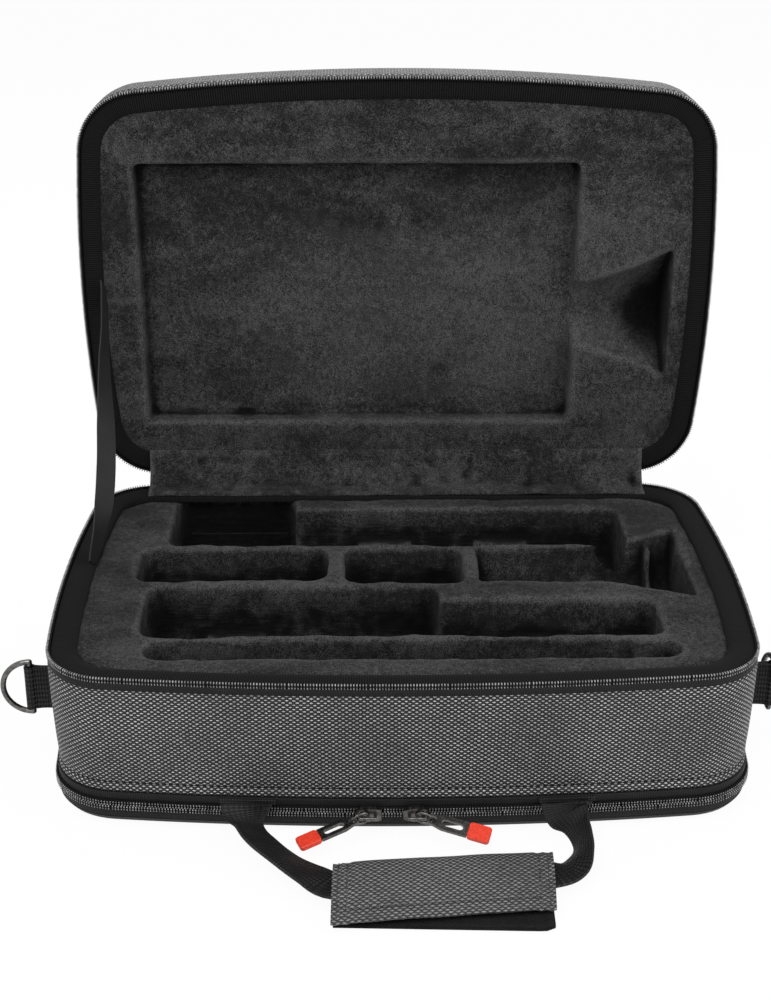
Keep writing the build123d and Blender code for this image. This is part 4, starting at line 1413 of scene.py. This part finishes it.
# ---- lid
@dataclass
class Lid:
    """The open lid: woven skin, tape and chain, rim band and plush liner."""

    top: float = 127.0
    lean: float = 1.6
    edge: float = 11.0

    def opened(self, piece: bpy.types.Object) -> bpy.types.Object:
        """Turn a piece modelled closed to the open rest."""
        piece.data.transform(lid_turn())
        return piece

    def skin(self) -> None:
        """Nylon skin with a rounded top edge."""
        crown = [(self.lean + self.edge * (1 - math.cos(turn)), self.top - self.edge * (1 - math.sin(turn)))
                 for turn in (math.radians(90.0 - 12.857 * step) for step in range(8))]
        wall = [(0.9, 112.0), (0.35, 104.0), (0.05, 98.0)]
        low = [(-0.05, 95.4), (0.1, 94.75), (0.5, 94.4), (1.1, 94.5)]
        field = [(24.0, self.top + 0.5), (18.0, self.top + 0.3)]
        piece = PLAN.sweep("lid_skin", field + crown + wall + low, 3.0, cap=True)
        show(self.opened(piece), Looks.NYLON, "lid", "ballistic_nylon", "lid_fabric")

    def tape(self) -> None:
        """Zip tape between the chain and the skin."""
        profile = [(1.05, 90.4), (0.6, 90.4), (0.16, 91.0), (0.12, 92.5), (0.16, 93.9), (0.5, 94.25), (1.05, 94.7)]
        piece = PLAN.sweep("lid_tape", profile, gap=MAIN_ZIP_END)
        show(self.opened(piece), Looks.TAPE, "lid", "zip_tape", "lid_zip_tape")

    def chain(self) -> None:
        """Lid's half of the main chain."""
        piece = Chain("lid_chain", 87.15, 90.35, 0.5, MAIN_ZIP_END, phase=0.5).build()
        show(self.opened(piece), None, "lid", "zip_coil", "lid_zip_coil")

    def band(self) -> None:
        """Knit band inside the chain."""
        profile = [(1.8, 90.9), (1.82, 89.7), (2.3, 89.15), (3.4, 89.0), (6.5, 89.15), (9.5, 89.4), (11.6, 89.8),
                   (12.7, 90.5), (13.1, 91.6), (13.2, 92.8)]
        piece = PLAN.sweep("lid_band", profile)
        show(self.opened(piece), Looks.KNIT, "lid", "knit_band", "lid_rim_band")
        PLAN.around

    def liner(self) -> None:
        """Plush liner: the moulded form, softened and napped, with painted shade in its dimples and the bell's
        funnel.
        """
        # Marks: painted shade in the dimples and the bell's funnel, and lighter or darker patches where the pile
        # lies over.
        marks = ((-11.7, 124.5, 248.2, 6.0, 0.34), (16.2, 124.4, 249.9, 8.0, 0.34),
                 (26.4, 129.0, 152.8, 6.0, 0.34), (-29.6, 124.5, 248.2, 4.5, 0.34),
                 (-110.8, 128.7, 158.5, 5.0, 0.3), (-92.0, 130.2, 128.1, 6.0, 0.3),
                 (-20.0, 125.0, 246.0, 4.0, 0.3), (164.0, 138.0, 191.0, 26.0, 0.34),
                 (146.0, 136.0, 191.0, 17.0, 0.28), (40.0, 126.0, 200.0, 85.0, -0.3),
                 (-60.0, 126.0, 190.0, 70.0, -0.2), (136.0, 120.0, 260.0, 40.0, -0.1),
                 (-60.0, 122.0, 296.0, 42.0, 0.12), (40.0, 122.0, 296.0, 38.0, 0.14),
                 (-120.0, 122.0, 270.0, 30.0, 0.1))
        piece = PlushForm("lid_plush", "lid_liner", 1.7, 3, 0.6, marks=marks).build()
        show(piece, Looks.PLUSH, "lid", "plush", "lid_liner")

    def build(self) -> None:
        """Make every piece."""
        self.skin()
        self.tape()
        self.chain()
        self.band()
        self.liner()


# ---- soft strips across the hinge
@dataclass
class Hinge:
    """Plush lining, nylon gusset and stay ribbon between base and lid."""

    lining_width: float = 302.0
    lining_path: tuple = ((101.8, 84.6), (103.6, 85.7), (108.0, 86.0), (112.4, 86.9), (116.0, 90.0), (118.6, 94.4),
                          (120.4, 98.6), (121.0, 103.4), (122.4, 106.2))
    gusset_width: float = 260.0
    gusset_path: tuple = ((116.3, 65.0), (116.3, 75.0), (116.4, 84.3), (121.3, 89.8), (130.0, 89.3), (140.1, 88.9))
    stay_width: float = 12.0
    stay_metres: float = 0.172
    stay_way: tuple = (0.768, -0.643)
    stay_path: tuple = (
        (-171.0, 8.6, 85.5, 0.10), (-167.6, 21.8, 101.5, 0.45), (-165.6, 32.1, 113.8, 0.80),
        (-165.5, 47.0, 131.6, 0.82), (-166.5, 59.7, 146.7, 0.76), (-167.7, 72.7, 162.3, 0.54),
        (-169.0, 85.7, 177.8, 0.35), (-169.4, 98.7, 193.3, 0.22), (-170.2, 108.4, 204.9, 0.15),
        (-171.6, 115.9, 213.9, 0.06))

    def lining(self) -> None:
        """Plush strip from the base's band up to the lid's."""
        stops = [((0, y, z), (1, 0, 0), self.lining_width) for y, z in self.lining_path]
        piece = Strap("hinge_plush", stops, 1.2, 4, 100, ripple=1.8).build()
        # Relief for the plush finish's painted shade in creases and painted light on crests.
        Bench.relief(piece, 4, 1.0)
        show(piece, Looks.PLUSH, ("base", "lid", (0, 0.109, 0.0853), (0, 0.1206, 0.100)), "plush", "hinge_lining")

    def gusset(self) -> None:
        """Nylon strip outside the hinge."""
        stops = [((0, y, z), (1, 0, 0), self.gusset_width) for y, z in self.gusset_path]
        piece = Strap("hinge_nylon", stops, 1.0, 4, 60, ripple=0.35).build()
        show(piece, Looks.NYLON, ("base", "lid", (0, 0.116, 0.080), (0, 0.130, 0.0893)), "ballistic_nylon",
             "hinge_gusset")

    def stay(self) -> None:
        """Ribbon that stops the lid, turned towards the front half way up."""
        stops = []
        for x, y, z, turned in self.stay_path:
            rest = math.sqrt(1.0 - turned ** 2)
            way = (turned, *(rest * part for part in self.stay_way))
            stops.append(((x, y, z), way, self.stay_width))
        piece = Strap("lid_stay", stops, 0.8, 5, 4, ripple=0.4).build()
        show(piece, Looks.RIBBON, ("base", "lid", (-0.172, 0.010, 0.087), (-0.172, 0.1155, 0.2135)),
             "black_webbing", "stay_ribbon")

    def build(self) -> None:
        """Make every piece."""
        self.lining()
        self.gusset()
        self.stay()


# ---- strap rings' tabs
@dataclass
class RingTabs:
    """Webbing loops that hold the two strap rings at the end walls."""

    bar: tuple = (194.9, -63.0, 49.0)
    loop: float = 2.5
    layer: float = 1.4
    width: float = 25.0
    root: float = 15.2

    def build(self) -> None:
        """One loop at each end wall."""
        spread = self.layer / 2 + 0.02
        turns = [math.radians(degrees) for degrees in (145, 110, 70, 35, 0, -35, -70, -110, -145)]
        path = [(-self.root, spread), (-self.root * 0.7, spread), (-self.root * 0.4, spread + 0.05)]
        path += [(self.loop * math.cos(turn), self.loop * math.sin(turn)) for turn in turns]
        path += [(x, -y) for x, y in reversed(path[:3])]
        for side, name in ((-1, "left"), (1, "right")):
            stops = [((side * (self.bar[0] + x), self.bar[1] + y, self.bar[2]), (0, 0, 1), self.width)
                     for x, y in path]
            piece = Strap(f"ring_strap_{name}", stops, self.layer, 3, 6, ripple=0.1).build()
            show(piece, Looks.TAB, "base", "black_webbing", f"ring_tab_{name}")


# ---- handle
@dataclass
class Handle:
    """Carrying handle: one run of webbing, a folded nylon wrap with stitches, and the hook strip."""

    pivots: tuple = ((-79.0, -127.9, 19.0), (81.0, -127.9, 19.0))
    routes: tuple = (
        (((-79.0, -129.6, 15.0), (0.95, 0.28, -0.1), 24.0), ((-77.6, -133.8, 10.2), (0.69, 0.56, -0.45), 20.0),
         ((-70.6, -144.6, 8.6), (0.64, 0.65, -0.41), 20.0), ((-58.4, -158.2, 7.4), (0.58, 0.72, -0.38), 20.0),
         ((-45.8, -169.4, 7.0), (0.44, 0.87, -0.20), 20.5)),
        (((81.6, -129.6, 14.6), (0.97, 0.18, 0.0), 24.0), ((85.8, -133.2, 9.8), (0.62, 0.0, 0.70), 17.0),
         ((88.0, -143.0, 7.0), (0.42, -0.25, 0.87), 17.0), ((85.4, -154.0, 5.8), (0.62, -0.45, 0.65), 18.0),
         ((79.4, -164.8, 5.8), (0.50, -0.84, 0.20), 20.0)))
    grip_centre: tuple = (17.5, -181.0)
    grip_yaw: float = 4.3
    grip_half: float = 53.0
    anchor_half: float = 15.0
    slant: float = 0.1
    flare: float = 0.06
    cloth: float = 2.1
    seam_rows: tuple = (46.0, 50.2)
    stitch_pitch: float = 3.1
    edge_pitch: float = 3.0

    def __post_init__(self) -> None:
        """Work out the grip's frame."""
        turn = Matrix.Rotation(math.radians(self.grip_yaw), 4, "Z")
        self.frame = Matrix.Translation((*self.grip_centre, 0)) @ turn

    def in_grip(self, x: float, y: float, z: float) -> Vector:
        """Point of the grip's frame in the case's, in millimetres."""
        return self.frame @ Vector((x, y, z))

    def webbing(self) -> None:
        """Both arms and the run inside the grip."""
        depth = self.frame.to_3x3() @ Vector((0, 1, 0))
        inside = [(tuple(self.in_grip(x, 5.6, 7.5)), tuple(depth), 20.0) for x in (-50, -25, 0, 25, 50)]
        left, right = ([(pivot, (1, 0, 0), 26.0), *route] for pivot, route in zip(self.pivots, self.routes))
        right = [(place, tuple(-part for part in way), width) for place, way, width in reversed(right)]
        piece = Strap("handle_strap", left + inside + right, 1.8, 6, 6, 0.25, 0.25).build()
        show(piece, Looks.WEBBING, "handle", "black_webbing", "handle_webbing")

    def anchors(self) -> None:
        """Webbing ends sewn under the skin's hem."""
        section = [(-0.9, 17.6), (-1.05, 17.9), (-1.05, 19.6), (-0.8, 19.9),
                   (0.5, 19.9), (0.75, 19.6), (0.75, 17.9), (0.5, 17.6)]
        for name, (x, _, _) in zip(("left", "right"), self.pivots):
            def held(place: Station) -> bool:
                """Whether a station lies under this anchor."""
                return place.at(0, 0).y < 0 and abs(place.at(0, 0).x / MM - x) <= self.anchor_half

            piece = PLAN.stretch(f"anchor_{name}", section, held, 1.5)
            show(piece, Looks.WEBBING, "base", "black_webbing", f"handle_anchor_{name}")

    def outer(self) -> list[tuple[float, float]]:
        """Wrap's outer face from its tucked edge round the back to its free front edge.

        Returns:
            Places across the grip and heights.
        """
        under = [(-9.0 + 4.0 * step, 0.0) for step in range(5)]
        back = [(11.0 + 7.5 * math.sin(turn), 7.5 - 7.5 * math.cos(turn)) for turn in
                (math.radians(18.0 * step) for step in range(11))]
        top = [(11.0 - 29.5 * part, 15.0 - 8.5 * part ** 1.75) for part in (step / 12 for step in range(1, 13))]
        return under + back + top

    def wrap(self) -> None:
        """Nylon wrap with soft ends."""
        outer = self.outer()
        inner = []
        for index, (y, z) in enumerate(outer):
            before, after = outer[max(index - 1, 0)], outer[min(index + 1, len(outer) - 1)]
            dy, dz = after[0] - before[0], after[1] - before[1]
            size = math.hypot(dy, dz)
            inner.append((y - dz / size * self.cloth, z + dy / size * self.cloth))
        nose = [(-18.9, 5.5), (-18.3, 4.7)]
        section = outer + nose + list(reversed(inner))
        rings = []
        for count in range(45):
            share = count / 44 * 2 - 1
            x = share * self.grip_half
            pinch = 0.7 * sum(math.exp(-((abs(x) - row) / 1.3) ** 2) for row in self.seam_rows)
            ring = []
            for index, (y, z) in enumerate(section):
                top = 1.0 if 10 <= index < len(outer) + 2 else 0.0
                wave = 0.35 * noise.noise(Vector((x * 0.06, y * 0.08, z * 0.1)))
                lift = (0.8 * (1 - share ** 4) - pinch) * top + wave
                trim = self.flare * max(-y, 0.0) * share if index < len(outer) + 4 else 0.0
                ring.append(self.in_grip(x + self.slant * y, y + trim, max(z + lift, 0.0)) * MM)
            rings.append(ring)
        piece = Bench.loft("grip_cloth", rings, ends=True)
        Bench.smooth(piece, 50.0)
        show(piece, Looks.NYLON_TURNED, "handle", "ballistic_nylon", "grip_wrap")
        self.stitches(outer)

    def end_stitches(self, outer: list[tuple[float, float]]) -> list[Matrix]:
        """Lay two rows of stitches over the wrap at each end.

        Args:
            outer: the wrap's outer face.

        Returns:
            Each stitch's frame, its place in millimetres.
        """
        top = [Vector((y, z)) for y, z in outer[10:]]
        lengths = [0.0]
        for before, after in zip(top, top[1:]):
            lengths.append(lengths[-1] + (after - before).length)
        places = []
        near, far = self.grip_half - 7.0, self.grip_half - 2.8
        for x in (-far, -near, near, far):
            run = 2.5
            while run < lengths[-1] - 1.0:
                index = next(number for number, length in enumerate(lengths) if length > run) - 1
                way = (top[index + 1] - top[index]).normalized()
                spot = top[index] + way * (run - lengths[index])
                out = Vector((0, way.y, -way.x)) * -1.0
                frame = Matrix((Vector((0, way.x, way.y)), Vector((1, 0, 0)), out)).transposed().to_4x4()
                trim = self.flare * max(-spot.x, 0.0) * x / self.grip_half
                seat = Vector((x + self.slant * spot.x, spot.x + trim, spot.y)) + out * 0.1
                places.append(self.frame @ Matrix.Translation(seat) @ frame)
                run += self.stitch_pitch
        return places

    def edge_stitches(self) -> list[Matrix]:
        """Lay one row of stitches along the wrap's free edge.

        Returns:
            Each stitch's frame, its place in millimetres.
        """
        turn = Matrix(((1, 0, 0), (0, 0.86, -0.5), (0, 0.5, 0.86))).transposed().to_4x4()
        places = []
        for count in range(31):
            x = -45.0 + self.edge_pitch * count
            share = x / self.grip_half
            seat = Vector((x - 1.45, -14.4 + 0.9 * x / self.grip_half, 9.7 + 0.8 * (1 - share ** 4)))
            places.append(self.frame @ Matrix.Translation(seat) @ turn)
        return places

    def stitches(self, outer: list[tuple[float, float]]) -> None:
        """Model one stitch and copy it along the rows.

        Args:
            outer: the wrap's outer face.
        """
        path = [Vector((x, 0, z)) * MM for x, z in ((-1.15, 0.0), (-0.7, 0.3), (0.7, 0.3), (1.15, 0.0))]
        unit = Bench.tube("stitch", path, 0.36 * MM, 5)
        places = self.end_stitches(outer) + self.edge_stitches()
        metres = [Matrix.Translation(place.translation * MM) @ place.to_3x3().to_4x4() for place in places]
        piece = Bench.scatter("grip_stitches", unit, metres)
        Bench.smooth(piece, 60.0)
        show(piece, Looks.THREAD, "handle", "ballistic_nylon")

    def hook(self) -> None:
        """Hook strip in front of the wrap's lower layer."""
        rings = []
        for count in range(27):
            x = -52.0 + 4.0 * count
            front = -15.5 - 11.5 * (x + 52.0) / 104.0
            front += 2.5 * max(0.0, (x - 46.0) / 6.0) ** 2
            spread = [-9.1 + (front + 9.1) * part for part in (0.0, 0.25, 0.5, 0.75, 1.0)]
            low = [(y, 0.05) for y in reversed(spread)]
            high = [(y, 2.15 + 0.12 * noise.noise(Vector((x * 0.5, y * 0.5, 0)))) for y in spread]
            section = high + [(front - 0.5, 1.1)] + low
            rings.append([self.in_grip(x + self.slant * y, y, z) * MM for y, z in section])
        piece = Bench.loft("grip_hook", rings, ends=True)
        Bench.smooth(piece, 50.0)
        # Relief for the hook finish's painted shade in creases and painted light on crests.
        Bench.relief(piece, 2, 1.0)
        show(piece, Looks.HOOK, "handle", "hook_tape", "hook_strip")

    def build(self) -> None:
        """Make every piece."""
        self.webbing()
        self.anchors()
        self.wrap()
        self.hook()


# ---- carried-over CAD nodes
@dataclass
class Hardware:
    """Nodes whose solids are right and only need their finish."""

    looks: dict = field(default_factory=lambda: {
        Looks.FOAM: ("base_shell", "lid_shell"),
        Looks.BOARD: ("pocket_board",),
        Looks.RING: ("strap_ring_left", "strap_ring_right"),
        Looks.GUNMETAL: tuple(f"{zip_name}_{kind}_{side}" for zip_name in ("pocket", "main")
                              for kind in ("slider", "link", "pull") for side in ("left", "right")),
        Looks.RED: tuple(f"{zip_name}_tip_{side}" for zip_name in ("pocket", "main") for side in ("left", "right")),
    })

    def build(self) -> None:
        """Give each node its finish."""
        for look, names in self.looks.items():
            for name in names:
                node = bpy.data.objects[name]
                node.data.materials.clear()
                node.data.materials.append(look.value.material())
                LOG.info("%s: finish %s", name, look.value.name)


# ---- studio
@dataclass
class Studio:
    """Pale floor, soft lights and the camera."""

    target: tuple = (-8.07, 0.0, 127.4)
    rise: float = 24.29
    yaw: float = -0.68
    roll: float = 0.05
    distance: float = 908.4
    focal: float = 1675.65
    frame_height: float = 1000.0
    fill: float = 0.55
    floor_glow: float = 0.95
    lamps: tuple = (("key", (-0.5, -0.9, 1.5), 1.1, 17.0), ("side", (1.2, -0.6, 0.9), 0.9, 8.0),
                    ("rear", (0.2, 1.3, 1.2), 1.0, 8.0))

    def camera(self) -> None:
        """Camera at the front, looking down a little."""
        rise, yaw = math.radians(self.rise), math.radians(self.yaw)
        back = Vector((math.sin(yaw) * math.cos(rise), -math.cos(yaw) * math.cos(rise), math.sin(rise)))
        right = Vector((math.cos(yaw), math.sin(yaw), 0))
        up = back.cross(right)
        turn = math.radians(self.roll)
        right, up = math.cos(turn) * right + math.sin(turn) * up, math.cos(turn) * up - math.sin(turn) * right
        eye = Vector(self.target) + back * self.distance
        data = bpy.data.cameras.new("camera")
        data.sensor_width = 36.0
        data.lens = self.focal / self.frame_height * data.sensor_width
        data.clip_start = 0.05
        camera = bpy.data.objects.new("camera", data)
        camera.matrix_world = Matrix.Translation(eye * MM) @ Matrix((right, up, back)).transposed().to_4x4()
        bpy.context.scene.collection.objects.link(camera)
        bpy.context.scene.camera = camera

    def floor(self) -> None:
        """White floor that keeps a faint shadow."""
        Bench.clear()
        bpy.ops.mesh.primitive_plane_add(size=14.0, location=(0, 0, -0.0004))
        plane = bpy.context.active_object
        plane.name = "floor"
        bench = MaterialBench("floor")
        shadow = bench.finish(Base_Color=(0.93, 0.93, 0.93), Roughness=0.9, Specular_IOR_Level=0.1)
        glow = bench.node("ShaderNodeEmission", None, {"Color": (1.0, 1.0, 1.0), "Strength": 1.0})
        mix = bench.node("ShaderNodeMixShader", None,
                         {0: bench.shown() * self.floor_glow, 1: bench.shader.outputs[0], 2: glow.outputs[0]})
        output = next(node for node in bench.tree.nodes if node.type == "OUTPUT_MATERIAL")
        bench.tree.links.new(mix.outputs[0], output.inputs[0])
        plane.data.materials.append(shadow)

    def world(self) -> None:
        """Soft fill, white behind the object."""
        world = bpy.data.worlds.new("world")
        bpy.context.scene.world = world
        world.use_nodes = True
        bench = NodeBench(world.node_tree)
        back = bench.tree.nodes["Background"]
        bench.feed(back.inputs["Color"], (1.0, 1.0, 1.0))
        bench.feed(back.inputs["Strength"], bench.shown() * (1.0 - self.fill) + self.fill)

    def lamp(self, name: str, place: tuple, size: float, power: float) -> None:
        """Area lamp that faces the case.

        Args:
            name: its name.
            place: where it hangs, in metres.
            size: its side, in metres.
            power: in watts.
        """
        data = bpy.data.lights.new(name, "AREA")
        data.size, data.energy = size, power
        lamp = bpy.data.objects.new(name, data)
        lamp.location = place
        lamp.rotation_euler = (Vector(place) - Vector((0, 0, 0.1))).to_track_quat("Z", "Y").to_euler()
        bpy.context.scene.collection.objects.link(lamp)

    def build(self) -> None:
        """Camera, floor, world and lamps."""
        self.camera()
        self.floor()
        self.world()
        for lamp in self.lamps:
            self.lamp(*lamp)
        bpy.context.scene.view_settings.view_transform = "Standard"


def main() -> None:
    """Build the dressed case in order."""
    logging.basicConfig(level=logging.INFO, format="%(name)s %(message)s", stream=sys.stdout)
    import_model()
    for part in (Studio(), Base(), Pocket(), Lid(), Hinge(), RingTabs(), Handle(), Hardware()):
        part.build()
        LOG.info("%s done", type(part).__name__)


if __name__ == "__main__":
    main()
